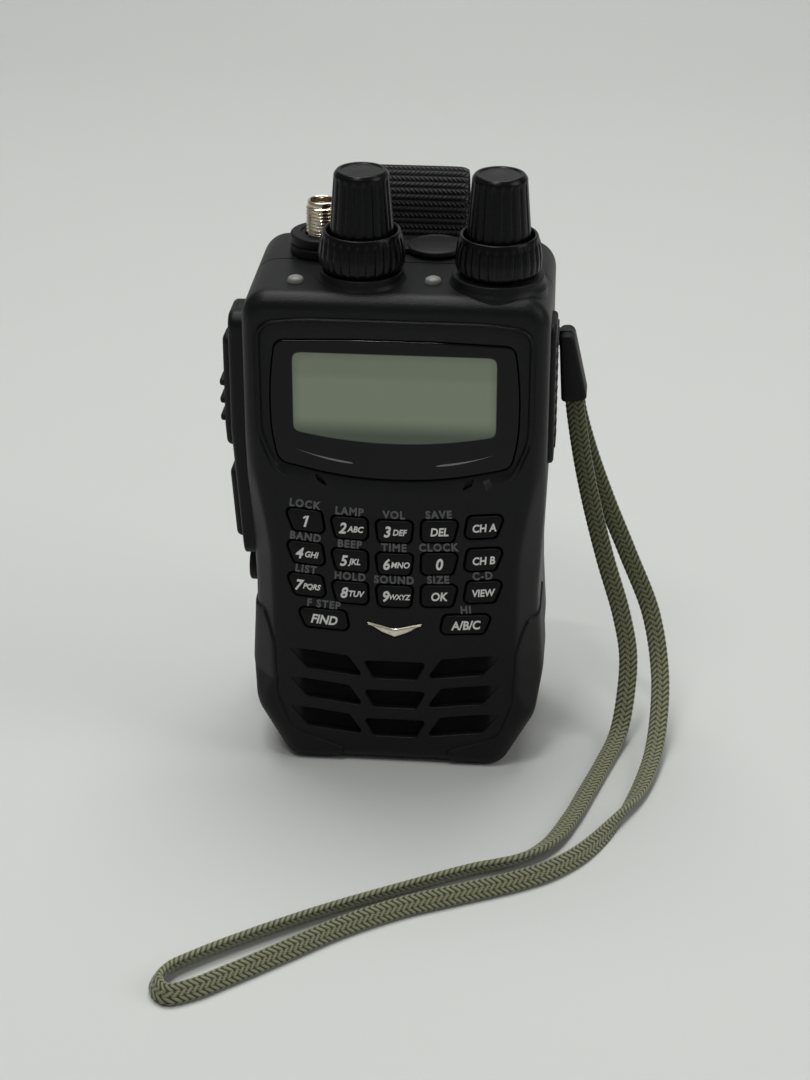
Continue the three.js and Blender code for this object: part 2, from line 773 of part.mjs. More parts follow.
function dialKnob(knob) {
  const profile = [
    [0, ringZ - SHAFT.depth - 2],
    [SHAFT.dial, ringZ - SHAFT.depth - 2],
    [SHAFT.dial, dialZ],
    [DIAL.foot, dialZ],
    [DIAL.head, dialTop - 0.9],
    [DIAL.top, dialTop],
    [DIAL.top - 0.7, dialTop],
    [DIAL.top - 0.9, dialTop - DIAL.inset],
    [0, dialTop - DIAL.inset],
  ];
  return turned(profile, knob.x, knob.y, 24);
}

function encoder(knob) {
  const high = HEIGHT - WALL - SHAFT.belowWall;
  const low = high - SHAFT.bodyHeight;
  const half = SHAFT.body;
  const body = box(knob.x - half, knob.x + half, knob.y - half, knob.y + half, low, high);
  const bush = rod(SHAFT.bush, "z", high - 1, bossTop, knob.x, knob.y, 20);
  const bore = rod(SHAFT.ring + SHAFT.clearance, "z", ringZ - SHAFT.depth - 2.6, FAR, knob.x, knob.y, 20);
  return body.add(bush).subtract(bore);
}

// ---------------------------------------------------------------- top and side fittings

const antennaSeatZ = HEIGHT + GAP;

function antennaConnector() {
  const top = HEIGHT + ANTENNA.rise;
  const { radius, socket, post } = ANTENNA;
  return turned(
    [
      [0, HEIGHT - ANTENNA.sunk],
      [radius, HEIGHT - ANTENNA.sunk],
      [radius, top - 0.3],
      [radius - 0.3, top],
      [socket, top],
      [socket, top - ANTENNA.socketDepth],
      [post, top - ANTENNA.socketDepth],
      [post, top - 0.6],
      [0, top - 0.6],
    ],
    ANTENNA.x,
    ANTENNA.y,
  );
}

function antennaSeat() {
  const high = antennaSeatZ + ANTENNA.seatRise;
  const groove = antennaSeatZ + ANTENNA.groove * ANTENNA.seatRise;
  const { seat } = ANTENNA;
  const inner = ANTENNA.radius + GAP;
  return turned(
    [
      [inner, antennaSeatZ],
      [seat, antennaSeatZ],
      [seat, groove - 0.2],
      [seat - 0.5, groove],
      [seat, groove + 0.2],
      [seat, high - 0.4],
      [seat - 0.4, high],
      [inner, high],
      [inner, antennaSeatZ],
    ],
    ANTENNA.x,
    ANTENNA.y,
  );
}

function earJack() {
  const { radius, bore, depth } = EAR_JACK;
  return turned(
    [
      [0, HEIGHT - depth],
      [radius, HEIGHT - depth],
      [radius, HEIGHT - GAP],
      [bore, HEIGHT - GAP],
      [bore, HEIGHT - depth + 1],
      [0, HEIGHT - depth + 1],
    ],
    EAR_JACK.x,
    EAR_JACK.y,
  );
}

function jackCover() {
  const { radius, thickness, tabReach, tabHalf, tabThickness, plugDepth } = JACK_COVER;
  const plug = EAR_JACK.bore - JACK_COVER.plugClearance;
  const low = HEIGHT + GAP;
  const lid = turned(
    [
      [0, low],
      [radius, low],
      [radius, low + thickness - 0.3],
      [radius - 0.3, low + thickness],
      [0, low + thickness],
    ],
    EAR_JACK.x,
    EAR_JACK.y,
  );
  const end = EAR_JACK.x - tabReach;
  const tab = box(end, EAR_JACK.x, EAR_JACK.y - tabHalf, EAR_JACK.y + tabHalf, low, low + tabThickness);
  return lid.add(tab).add(rod(plug, "z", low - plugDepth, low + 0.5, EAR_JACK.x, EAR_JACK.y));
}

const slab = (y, half, low, high, radius) =>
  rounded([
    corner(y - half, low, radius),
    corner(y + half, low, radius),
    corner(y + half, high, radius),
    corner(y - half, high, radius),
  ]);

// What a piece of the left side loses so that it leans inwards towards the bottom.
const leanWedge = (rise) =>
  extrude(
    [
      new THREE.Vector2(-FAR, SIDE_LEAN.low),
      new THREE.Vector2(-SIDE_X - rise + SIDE_LEAN.drop, SIDE_LEAN.low),
      new THREE.Vector2(-SIDE_X - rise, SIDE_LEAN.high),
      new THREE.Vector2(-FAR, SIDE_LEAN.high),
    ],
    "y",
    -FAR,
    FAR,
  );

function sideKeyFrame() {
  const outer = slab(SIDE_KEYS.y, SIDE_KEYS.frameHalf, SIDE_FRAME.low, SIDE_FRAME.high, 3);
  let frame = extrude(outer, "x", -SIDE_X - SIDE_KEYS.frameRise, -sideFrameX + 1.2, 1.2);
  frame = frame.subtract(box(-sideFrameX, FAR, -FAR, FAR, -FAR, FAR));
  for (const span of SIDE_KEY_SPANS) {
    const window = offset(slab(SIDE_KEYS.y, SIDE_KEYS.half, span.low, span.high, SIDE_KEYS.corner), KEY_GAP);
    frame = frame.subtract(extrude(window, "x", -FAR, FAR));
  }
  return frame.subtract(leanWedge(SIDE_KEYS.frameRise));
}

function sideKey(span) {
  const floor = -keyFloorX - SIDE_KEYS.travel - GAP;
  const top = -SIDE_X - SIDE_KEYS.lift;
  const outline = slab(SIDE_KEYS.y, SIDE_KEYS.half, span.low, span.high, SIDE_KEYS.corner);
  const pad = extrude(outline, "x", top, floor, 0.6);
  const middle = (span.low + span.high) / 2;
  const stem = rod(SIDE_KEYS.stem, "x", floor - 1, floor + SIDE_KEYS.stemDepth, SIDE_KEYS.y, middle, 12);
  let key = pad.add(stem);
  for (const z of span.ribs) {
    const rib = slab(SIDE_KEYS.y, SIDE_KEYS.half - 0.7, z - SIDE_KEYS.ribHalf, z + SIDE_KEYS.ribHalf, 0.7);
    key = key.add(extrude(rib, "x", top - SIDE_KEYS.ribRise, top + 1, 0.3));
  }
  return key.subtract(leanWedge(SIDE_KEYS.lift));
}

function sideGrip() {
  const outline = slab(GRIP.y, GRIP.half, GRIP.low, GRIP.high, 2.5);
  const foot = SIDE_X - GRIP.sunk + GAP;
  return extrude(outline, "x", foot - 0.8, SIDE_X + GRIP.rise, 0.8).subtract(
    box(-FAR, foot, -FAR, FAR, -FAR, FAR),
  );
}

function powerJack() {
  const inner = -SIDE_X + OUTLINE.waistInset + 1;
  const { y, z, radius, bore, depth } = POWER_JACK;
  const body = rod(radius, "x", inner, inner + depth, y, z);
  return body.subtract(rod(bore, "x", inner - 1, inner + depth - 1, y, z));
}

function powerCover() {
  const outer = -SIDE_X - POWER_COVER.thickness;
  const inner = -SIDE_X + OUTLINE.waistInset - POWER_COVER.standOff;
  const { y, z } = POWER_JACK;
  const disc = rod(POWER_COVER.radius, "x", outer, inner, y, z, 20);
  const tether = box(outer + 0.5, inner, y, y + POWER_COVER.tether, z - 1.6, z + 1.6);
  return disc.add(tether);
}

// ---------------------------------------------------------------- straps

function strapAnchor(low) {
  const front = BACK_Y + GAP;
  const back = front + STRAP.anchorDepth;
  const outline = rounded([
    corner(front, low),
    corner(back, low, 1.2),
    corner(back, low + STRAP.anchorHeight, 1.2),
    corner(front, low + STRAP.anchorHeight),
  ]);
  const slotHalf = STRAP.width / 2 + GAP;
  const anchorHalf = STRAP.width / 2 + STRAP.anchorMargin;
  const slotDepth = STRAP.thickness + 2 * STRAP.slotClearance;
  const slotFront = STRAP_ROUTE[0][0] - slotDepth / 2;
  const block = extrude(outline, "x", -anchorHalf, anchorHalf);
  return block.subtract(box(-slotHalf, slotHalf, slotFront, slotFront + slotDepth, -FAR, FAR));
}

function handStrap() {
  const route = new THREE.CatmullRomCurve3(
    STRAP_ROUTE.map(([y, z]) => new THREE.Vector3(y, z, 0)),
    false,
    "centripetal",
  );
  const steps = 30;
  const sides = [[], []];
  for (let i = 0; i <= steps; i++) {
    const here = route.getPoint(i / steps);
    const along = route.getTangent(i / steps);
    const out = new THREE.Vector2(along.y, -along.x).multiplyScalar(STRAP.thickness / 2);
    const middle = new THREE.Vector2(here.x, here.y);
    sides[0].push(middle.clone().add(out));
    sides[1].push(middle.clone().sub(out));
  }
  return extrude([...sides[0], ...sides[1].reverse()], "x", -STRAP.width / 2, STRAP.width / 2);
}

const lugX = SIDE_X + LUG.reach;

// The plate on the side of the rear case that the lanyard's cap hangs on.
function strapLug() {
  const { y, z, plate, radius, baseHalf, baseHeight, baseThickness } = LUG;
  const start = SIDE_X + GAP;
  const low = z - baseHeight / 2;
  const base = box(start, start + baseThickness, y - baseHalf, y + baseHalf, low, low + baseHeight);
  const arm = box(start, lugX, y - plate / 2, y + plate / 2, z - radius, z + radius);
  const end = rod(radius, "y", y - plate / 2, y + plate / 2, lugX, z, 20);
  const hole = rod(CAP.pin + CAP.pinClearance, "y", -FAR, FAR, lugX, z, 12);
  return base.add(arm).add(end).subtract(hole);
}

function lanyardCap() {
  const top = new THREE.Vector2(SIDE_X + CAP.topReach, CAP.topZ);
  const low = new THREE.Vector2(SIDE_X + CAP.lowReach, CAP.lowZ);
  const down = low.clone().sub(top).normalize();
  const across = new THREE.Vector2(-down.y, down.x);
  const at = (end, side) => end.clone().addScaledVector(across, side);
  const foot = [at(low, -CAP.lowHalf), at(low, CAP.lowHalf)];
  const head = [at(top, CAP.topHalf), at(top, -CAP.topHalf)];
  const outline = rounded([...foot, ...head].map((point) => ({ point, radius: CAP.corner })));
  const near = LUG.y - CAP.depth / 2;
  const far = LUG.y + CAP.depth / 2;
  const slotHalf = LUG.plate / 2 + GAP;
  const slotLow = LUG.z - LUG.radius - GAP;
  return extrude(outline, "y", near, far, CAP.bevel)
    .subtract(box(-FAR, FAR, LUG.y - slotHalf, LUG.y + slotHalf, slotLow, FAR))
    .add(rod(CAP.pin, "y", near + 1, far - 1, lugX, LUG.z, 12));
}

function lanyardCord() {
  const circle = new THREE.EllipseCurve(0, 0, CORD.radius, CORD.radius).getPoints(CORD.sides);
  const route = new THREE.CatmullRomCurve3(
    CORD_ROUTE.map((point) => new THREE.Vector3(...point)),
    false,
    "centripetal",
  );
  const geometry = new THREE.ExtrudeGeometry(new THREE.Shape(circle.slice(0, CORD.sides)), {
    steps: CORD.steps,
    extrudePath: route,
    bevelEnabled: false,
  });
  return solid(geometry);
}

// ---------------------------------------------------------------- the assembly

const radio = new THREE.Group();
radio.name = "handheld_receiver";

function part(name, made, material) {
  const found = made.getMesh();
  const geometry = new THREE.BufferGeometry();
  geometry.setAttribute("position", new THREE.BufferAttribute(found.vertProperties, 3));
  geometry.setIndex(new THREE.BufferAttribute(found.triVerts, 1));
  geometry.computeVertexNormals();
  const mesh = new THREE.Mesh(geometry, material);
  mesh.name = name;
  radio.add(mesh);
}

const bodyBlack = plastic(0x1b1c1d, 0.6);
const rubberBlack = plastic(0x161616, 0.8);
const glossBlack = plastic(0x0c0d0e, 0.12);
const boardGreen = plastic(0x1f4a2c, 0.6);
const nickel = metal(0xb9b2a2, 0.3);
const darkMetal = metal(0x55575a, 0.45);

part("front_case", frontCase(), bodyBlack);
part("rear_case", rearCase(), bodyBlack);
part("battery_case", batteryCase(), bodyBlack);
part("bumper_left", bumper(-1, 0), rubberBlack);
part("bumper_right", bumper(1, 0), rubberBlack);

const lensFront = FRONT_Y + LENS.sink;
part("display_lens", extrude(lensOutline, "y", lensFront, lensFront + LENS.thickness, 0.2, 1), glossBlack);
const lcdFront = lensFront + LENS.thickness + 2 * GAP;
part("lcd_panel", lcdBox(0, lcdFront, lcdFront + LCD.depth), plastic(0x69715f, 0.4));

for (const key of keys) {
  const front = FRONT_Y - KEY.proud;
  part(key.name, extrude(key.outline, "y", front, front + KEY.depth, KEY.bevel, 1), rubberBlack);
}

const matY = FRONT_Y - KEY.proud + KEY.depth + KEY.travel + GAP;
const matHalf = keypadHalf + MAT.margin;
part(
  "keypad_mat",
  box(-matHalf, matHalf, matY, matY + MAT.thickness, keypadLow - MAT.below, keypadTop + MAT.above),
  rubberBlack,
);

const chevronY = FRONT_Y + CHEVRON.sink;
part("chevron_trim", extrude(chevronOutline, "y", FRONT_Y - CHEVRON.proud, chevronY), metal(0xcdbb9c, 0.3));

const speakerY = FRONT_Y + WALL + GAP;
part(
  "speaker",
  rod(SPEAKER.radius, "y", speakerY, speakerY + SPEAKER.basket, 0, SPEAKER.z, 24).add(
    rod(SPEAKER.magnetRadius, "y", speakerY, speakerY + SPEAKER.depth, 0, SPEAKER.z, 20),
  ),
  darkMetal,
);

const board = ({ inset, low, belowTop, thickness }, y) =>
  box(inset - SIDE_X, SIDE_X - inset, y, y + thickness, low, HEIGHT - belowTop);
const boardY = speakerY + SPEAKER.depth + BOARD.behindSpeaker;
part("main_board", board(BOARD, boardY), boardGreen);
const canY = RADIO_BOARD.y + RADIO_BOARD.thickness;
const can = box(
  -SHIELD_CAN.half,
  SHIELD_CAN.half,
  canY - 0.5,
  canY + SHIELD_CAN.depth,
  SHIELD_CAN.low,
  SHIELD_CAN.high,
);
part("radio_board", board(RADIO_BOARD, RADIO_BOARD.y).add(can), boardGreen);

for (const knob of KNOBS) {
  part(`ring_knob_${knob.name}`, ringKnob(knob), rubberBlack);
  part(`dial_knob_${knob.name}`, dialKnob(knob), rubberBlack);
  part(`encoder_${knob.name}`, encoder(knob), darkMetal);
}

for (const light of LIGHTS) {
  const low = HEIGHT - WALL;
  const profile = [
    [0, low],
    [LIGHT_RADIUS, low],
    [LIGHT_RADIUS, HEIGHT],
    [LIGHT_RADIUS * 0.8, HEIGHT + 0.7],
    [LIGHT_RADIUS * 0.4, HEIGHT + 1.1],
    [0, HEIGHT + 1.15],
  ];
  part(light.name, turned(profile, light.x, light.y, 16), plastic(0x8a8b87, 0.4));
}

part("antenna_connector", antennaConnector(), nickel);
part("antenna_seat", antennaSeat(), rubberBlack);
part("ear_jack", earJack(), darkMetal);
part("jack_cover", jackCover(), rubberBlack);

part("side_key_frame", sideKeyFrame(), bodyBlack);
for (const span of SIDE_KEY_SPANS) part(span.name, sideKey(span), rubberBlack);
part("side_grip", sideGrip(), rubberBlack);
part("power_jack", powerJack(), darkMetal);
part("power_cover", powerCover(), rubberBlack);

const cell = box(
  -BATTERY.cellHalf,
  BATTERY.cellHalf,
  BATTERY.frontY + 2 * GAP,
  BACK_Y - BATTERY.wall - GAP,
  BATTERY.cellLow,
  BATTERY.top - BATTERY.cellBelowTop,
);
part("battery_cell", cell, plastic(0x2b4a6a, 0.5));
const latch = box(
  -LATCH.half,
  LATCH.half,
  BACK_Y - LATCH.depth,
  BACK_Y + LATCH.proud,
  latchLow,
  latchLow + LATCH.height,
);
part("battery_latch", latch, bodyBlack);
screws.forEach((screw, i) => {
  const shank = rod(SCREW.shank, "y", SCREW.y - SCREW.length, SCREW.y, screw.x, screw.z, 12);
  const head = rod(SCREW.head, "y", SCREW.y - 1, SCREW.y + 0.4, screw.x, screw.z, 16);
  part(`case_screw_${i + 1}`, shank.add(head), darkMetal);
});

part("strap_anchor_top", strapAnchor(STRAP_TOP_ANCHOR_Z), bodyBlack);
part("strap_anchor_low", strapAnchor(STRAP_LOW_ANCHOR_Z), bodyBlack);
part("hand_strap", handStrap(), plastic(0x17181a, 0.9));
part("strap_lug", strapLug(), bodyBlack);
part("lanyard_cap", lanyardCap(), rubberBlack);
part("lanyard_cord", lanyardCord(), plastic(0x5c6142, 0.9));

export default radio;
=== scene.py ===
# %% [markdown]
# # A handheld air-band receiver
# This lesson dresses a packed mechanical model. The model fixes every place and size, and each piece
# made here is a fine surface that stands where its plain solid stands.

# %% Load the frame
import math
import bmesh
import bpy
import numpy as np
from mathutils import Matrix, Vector
from mathutils.geometry import delaunay_2d_cdt


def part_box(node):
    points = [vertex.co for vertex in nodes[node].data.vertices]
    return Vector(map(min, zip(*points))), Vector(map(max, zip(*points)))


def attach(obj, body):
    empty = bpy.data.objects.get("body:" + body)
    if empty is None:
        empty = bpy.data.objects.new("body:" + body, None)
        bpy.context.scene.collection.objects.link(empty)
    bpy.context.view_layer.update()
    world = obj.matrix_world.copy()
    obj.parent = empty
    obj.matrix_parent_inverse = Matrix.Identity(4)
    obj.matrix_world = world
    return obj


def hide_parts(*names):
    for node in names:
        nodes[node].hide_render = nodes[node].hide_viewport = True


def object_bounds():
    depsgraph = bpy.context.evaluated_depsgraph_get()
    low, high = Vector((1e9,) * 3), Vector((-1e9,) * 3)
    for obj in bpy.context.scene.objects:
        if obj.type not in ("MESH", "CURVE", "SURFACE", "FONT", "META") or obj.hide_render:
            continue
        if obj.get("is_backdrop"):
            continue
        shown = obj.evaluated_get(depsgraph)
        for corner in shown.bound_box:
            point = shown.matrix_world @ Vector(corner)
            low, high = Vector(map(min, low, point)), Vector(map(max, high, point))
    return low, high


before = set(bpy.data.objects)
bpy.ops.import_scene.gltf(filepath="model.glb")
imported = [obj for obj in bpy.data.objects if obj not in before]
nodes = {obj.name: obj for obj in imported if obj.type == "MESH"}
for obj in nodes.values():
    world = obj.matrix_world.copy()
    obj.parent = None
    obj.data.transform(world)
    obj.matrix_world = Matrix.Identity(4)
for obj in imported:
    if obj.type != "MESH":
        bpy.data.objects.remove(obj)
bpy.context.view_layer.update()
MM = 0.001
RADIO = "radio"

# %% [markdown]
# ## The camera
# A product picture is taken with a long lens from a little above the display. The camera comes first,
# because a loose cord may only lie where this view sees it.

# %% Camera
camera_data = bpy.data.cameras.new("camera")
camera_data.lens = 81.67
camera = bpy.data.objects.new("camera", camera_data)
camera.location = Vector((40.4, -456.4, 272.3)) * MM
aim = Vector((0.47, 0.0, 42.94)) * MM
camera.rotation_euler = (aim - camera.location).to_track_quat("-Z", "Y").to_euler()
bpy.context.scene.collection.objects.link(camera)
bpy.context.scene.camera = camera
print("camera", round((camera.location - aim).length, 3), "m away")

# %% [markdown]
# ## Shader maths
# A pattern is easier to read as a formula than as a web of nodes. `Wire` wraps one output socket and
# overloads the arithmetic signs, so that `1 - mask` adds a Math node. Every other kind of node comes
# from `Look.add`, which takes the node's type, its settings and what goes into its sockets.

# %% A socket that can be used in a formula
class Wire:
    """One output socket of a material, usable in sums and products."""

    def __init__(self, look, socket):
        self.look = look
        self.socket = socket

    def math(self, operation, *others):
        return self.look.add("ShaderNodeMath", {"operation": operation}, {0: self, **dict(enumerate(others, 1))})

    def __add__(self, other):
        return self.math("ADD", other)

    def __mul__(self, other):
        return self.math("MULTIPLY", other)

    def __sub__(self, other):
        return self.math("SUBTRACT", other)

    def __rsub__(self, other):
        return self.look.add("ShaderNodeMath", {"operation": "SUBTRACT"}, {0: other, 1: self})

    __radd__ = __add__
    __rmul__ = __mul__


class Look:
    """A material whose nodes are added by formula."""

    def __init__(self, name, **sockets):
        self.material = bpy.data.materials.new(name)
        self.material.use_nodes = True
        self.tree = self.material.node_tree
        self.shader = self.tree.nodes["Principled BSDF"]
        for socket, value in sockets.items():
            self.shader.inputs[socket.replace("_", " ")].default_value = value
        self.place = self.add("ShaderNodeTexCoord", out="Object")

    def add(self, kind, settings=None, inputs=None, out=0):
        """Adds one node: settings first, then numbers or wires into its sockets."""
        node = self.tree.nodes.new(kind)
        for key, value in (settings or {}).items():
            if key == "stops":
                ramp = node.color_ramp.elements
                while len(ramp) < len(value):
                    ramp.new(0.5)
                for element, (position, colour) in zip(ramp, value):
                    element.position = position
                    element.color = (*colour, 1)
            else:
                setattr(node, key, value)
        for key, value in (inputs or {}).items():
            if isinstance(value, Wire):
                self.tree.links.new(value.socket, node.inputs[key])
            else:
                node.inputs[key].default_value = value
        return Wire(self, node.outputs[out])

    def feed(self, socket, wire):
        self.tree.links.new(wire.socket, self.shader.inputs[socket])

    def noise(self, size, detail=2.0, where=None, stretch=None):
        """Noise whose lumps are about size millimetres across, from 0 to 1."""
        where = where or self.place
        if stretch:
            where = self.add("ShaderNodeMapping", {}, {"Vector": where, "Scale": stretch})
        return self.add("ShaderNodeTexNoise", {}, {"Vector": where, "Scale": 1 / (size * MM), "Detail": detail})

    def axes(self, where=None):
        """The three coordinates, in millimetres."""
        split = self.add("ShaderNodeSeparateXYZ", {}, {0: where or self.place})
        outputs = split.socket.node.outputs
        return [Wire(self, outputs[i]) * 1000 for i in range(3)]

    def blend(self, factor, first, second):
        """A colour between two colours, each a triple or a wire."""
        put = [c if isinstance(c, Wire) else (*c, 1) for c in (first, second)]
        return self.add("ShaderNodeMix", {"data_type": "RGBA"}, {0: factor, 6: put[0], 7: put[1]}, out=2)

    def ramp(self, wire, low, high, start=0.0, end=1.0):
        """A smooth step of a wire from start to end as it goes from low to high."""
        return self.add(
            "ShaderNodeMapRange",
            {"interpolation_type": "SMOOTHSTEP"},
            {0: wire, 1: low, 2: high, 3: start, 4: end},
        )

    def relief(self, height, depth, strength=1.0):
        """A bump whose full height is depth millimetres."""
        inputs = {"Height": height, "Distance": depth * MM, "Strength": strength}
        self.feed("Normal", self.add("ShaderNodeBump", {}, inputs))


print("shader maths ready")

# %% [markdown]
# ## The finishes
# Nearly everything on the receiver is black, so the finishes differ in sheen and grain and not in
# colour. The case is a spark-eroded moulding: a grain of about a third of a millimetre breaks its
# highlights into sparkles. Rubber is duller and smoother, and the knobs are satin.

# %% Black plastics and rubbers
def grained(name, colour, roughness, grain, depth, spread=0.08, shine=0.26):
    """A black moulding: grain millimetres across and depth millimetres high, with a slightly uneven sheen."""
    look = Look(name, Specular_IOR_Level=shine)
    speckle = look.noise(grain, 3.0)
    cloud = look.noise(14, 2.0)
    dark = tuple(c * 0.82 for c in colour)
    look.feed("Base Color", look.blend(cloud, dark, colour))
    look.feed("Roughness", look.ramp(speckle * 0.6 + cloud * 0.4, 0.3, 0.7, roughness - spread, roughness + spread))
    look.relief(speckle, depth)
    return look


case_look = grained("case_plastic", (0.0055, 0.0058, 0.0066), 0.4, 0.36, 0.075)
rubber_look = grained("soft_rubber", (0.0075, 0.0075, 0.0078), 0.52, 0.2, 0.012)
knob_look = grained("knob_rubber", (0.0028, 0.003, 0.0038), 0.29, 0.16, 0.006, shine=0.25)
key_look = grained("key_silicone", (0.0048, 0.005, 0.0055), 0.48, 0.18, 0.01, shine=0.2)
print("four black finishes")

# %% [markdown]
# The case's deep places, such as the speaker slots, hold no light at all, so painted shade darkens its
# colour with depth below the face. The same node graph does it for the whole case.

# %% Painted shade below the case's face
FRONT_Y = -19.0
x, y, z = case_look.axes()
# Painted shade: among the keys and slots, the case is painted nearly black and made rougher from 0.15 to 0.8 mm below
# the face.
pit = case_look.ramp(y, FRONT_Y + 0.15, FRONT_Y + 0.8)
among = case_look.ramp(x.math("ABSOLUTE"), 23.2, 23.6, 1.0, 0.0) * case_look.ramp(z, 4.4, 4.8)
among = among * case_look.ramp(z, 61, 62, 1.0, 0.0)
old_colour = Wire(case_look, case_look.shader.inputs["Base Color"].links[0].from_socket)
case_look.feed("Base Color", case_look.blend(pit * among, old_colour, (0.0006, 0.0006, 0.0007)))
case_look.feed("Roughness", case_look.ramp(pit * among, 0, 1, 0.42, 0.9))
print("case colour set")

# %% [markdown]
# Metals and small parts: nickel over brass on the connector, with a warm tint where the plating has
# worn on the crests; satin champagne on the trim; plain steel, board green and a blue cell sleeve inside.

# %% Metals and inner parts
def metal(name, colour, wear_tint_and_shadow, roughness, scratch=0.25):
    look = Look(name, Metallic=1.0)
    fine = look.noise(scratch, 4.0, stretch=(1, 1, 6))
    look.feed("Base Color", look.blend(look.ramp(look.noise(1.6), 0.42, 0.62), colour, wear_tint_and_shadow))
    look.feed("Roughness", look.ramp(fine, 0.3, 0.7, roughness * 0.75, roughness * 1.3))
    look.relief(fine, 0.004)
    return look


brass_look = metal("plated_brass", (0.86, 0.81, 0.72), (0.8, 0.66, 0.48), 0.2)
champagne_look = metal("champagne_trim", (0.92, 0.85, 0.72), (0.86, 0.78, 0.64), 0.32)
steel_look = metal("steel", (0.4, 0.4, 0.41), (0.34, 0.34, 0.35), 0.35)
board_look = grained("circuit_board", (0.012, 0.085, 0.03), 0.4, 0.5, 0.01)
cell_look = grained("cell_wrap", (0.02, 0.07, 0.14), 0.35, 0.8, 0.01)
light_look = grained("light_diffuser", (0.26, 0.265, 0.25), 0.35, 0.5, 0.004)
light_look.shader.inputs["Subsurface Weight"].default_value = 0.25
light_look.shader.inputs["Subsurface Scale"].default_value = 0.001
print("metals and inner parts")

# %% [markdown]
# Prints on keys and case are thin ink, a little uneven.

# %% Ink
def ink(name, colour, roughness=0.55):
    look = Look(name)
    cloud = look.noise(0.5, 2.0)
    look.feed("Base Color", look.blend(cloud, tuple(c * 0.86 for c in colour), colour))
    look.feed("Roughness", look.ramp(cloud, 0.3, 0.7, roughness - 0.05, roughness + 0.05))
    return look


white_ink = ink("print_white", (0.80, 0.80, 0.78))
grey_ink = ink("print_grey", (0.12, 0.12, 0.125))
silver_ink = ink("print_silver", (0.22, 0.22, 0.23), 0.4)
print("three inks")

# %% [markdown]
# ## Outlines
# The receiver is drawn as a few closed outlines with rounded corners. `rounded` turns corners into
# arcs, `spread` moves an outline outwards along its own normals, and `even` resamples it by length.

# %% Closed outlines
def rounded(corners, step=0.12):
    """Each corner (x, z, radius) becomes an arc that touches both of its sides; returns an (n, 2) array."""
    points = []
    spots = [np.array(c[:2], float) for c in corners]
    for i, here in enumerate(spots):
        back = spots[i - 1] - here
        ahead = spots[(i + 1) % len(spots)] - here
        lengths = np.linalg.norm(back), np.linalg.norm(ahead)
        back, ahead = back / lengths[0], ahead / lengths[1]
        turn = math.pi - math.acos(float(np.clip(back @ ahead, -1, 1)))
        radius = corners[i][2] if len(corners[i]) > 2 else 0.0
        reach = min(radius * math.tan(turn / 2), 0.48 * min(lengths))
        if reach < 0.02:
            points.append(here[None])
            continue
        radius = reach / math.tan(turn / 2)
        inward = (back + ahead) / np.linalg.norm(back + ahead)
        centre = here + inward * radius / math.cos(turn / 2)
        first = here + back * reach - centre
        last = here + ahead * reach - centre
        side = np.sign(first[0] * last[1] - first[1] * last[0])
        angle = side * turn * np.linspace(0, 1, max(2, int(turn / step) + 2))
        cos, sin = np.cos(angle), np.sin(angle)
        arc = np.stack([first[0] * cos - first[1] * sin, first[0] * sin + first[1] * cos], 1)
        points.append(arc + centre)
    return np.concatenate(points)


def area(loop):
    """Signed area: half the sum of cross products of neighbours."""
    ahead = np.roll(loop, -1, 0)
    return 0.5 * float(np.sum(loop[:, 0] * ahead[:, 1] - loop[:, 1] * ahead[:, 0]))


def even(loop, count):
    """The closed loop resampled at equal lengths, turning anticlockwise."""
    if area(loop) < 0:
        loop = loop[::-1]
    closed = np.vstack([loop, loop[:1]])
    run = np.concatenate([[0], np.cumsum(np.linalg.norm(np.diff(closed, axis=0), axis=1))])
    want = np.linspace(0, run[-1], count, endpoint=False)
    return np.stack([np.interp(want, run, closed[:, k]) for k in range(2)], 1)


def outward(loop):
    """Unit normals that point out of an anticlockwise loop: the tangent turned right."""
    tangent = np.roll(loop, -1, 0) - np.roll(loop, 1, 0)
    tangent /= np.linalg.norm(tangent, axis=1)[:, None]
    return np.stack([tangent[:, 1], -tangent[:, 0]], 1)


def spread(loop, distance):
    """The loop moved outwards by distance, a number or one value for each point."""
    return loop + outward(loop) * np.broadcast_to(distance, len(loop))[:, None]


def mirrored(corners):
    """Right-hand corners from bottom to top, followed by their mirror images."""
    return corners + [(-c[0], *c[1:]) for c in reversed(corners)]


def smooth(value, low, high):
    """A smooth step from 0 to 1 as value goes from low to high: 3t^2 - 2t^3."""
    t = np.clip((value - low) / (high - low), 0, 1)
    return t * t * (3 - 2 * t)


print("outline helpers ready")

# %% [markdown]
# ## Building meshes
# `Sheet` gathers grids, strips and flat fields into one mesh. A grid is an (n, m, 3) array of points
# whose neighbours are joined by four-sided faces. A flat field between outlines is filled by a
# constrained triangulation, and the triangles inside a hole are dropped.

# %% A mesh builder
def inside(points, loop):
    """Which points lie in a closed loop: an odd number of its edges lies to their right."""
    x, y = points[:, 0][:, None], points[:, 1][:, None]
    x0, y0 = loop[:, 0][None], loop[:, 1][None]
    x1, y1 = np.roll(loop[:, 0], -1)[None], np.roll(loop[:, 1], -1)[None]
    spans = (y0 > y) != (y1 > y)
    rise = np.where(y1 == y0, 1e-12, y1 - y0)
    hit = spans & (x < (x1 - x0) * (y - y0) / rise + x0)
    return hit.sum(1) % 2 == 1


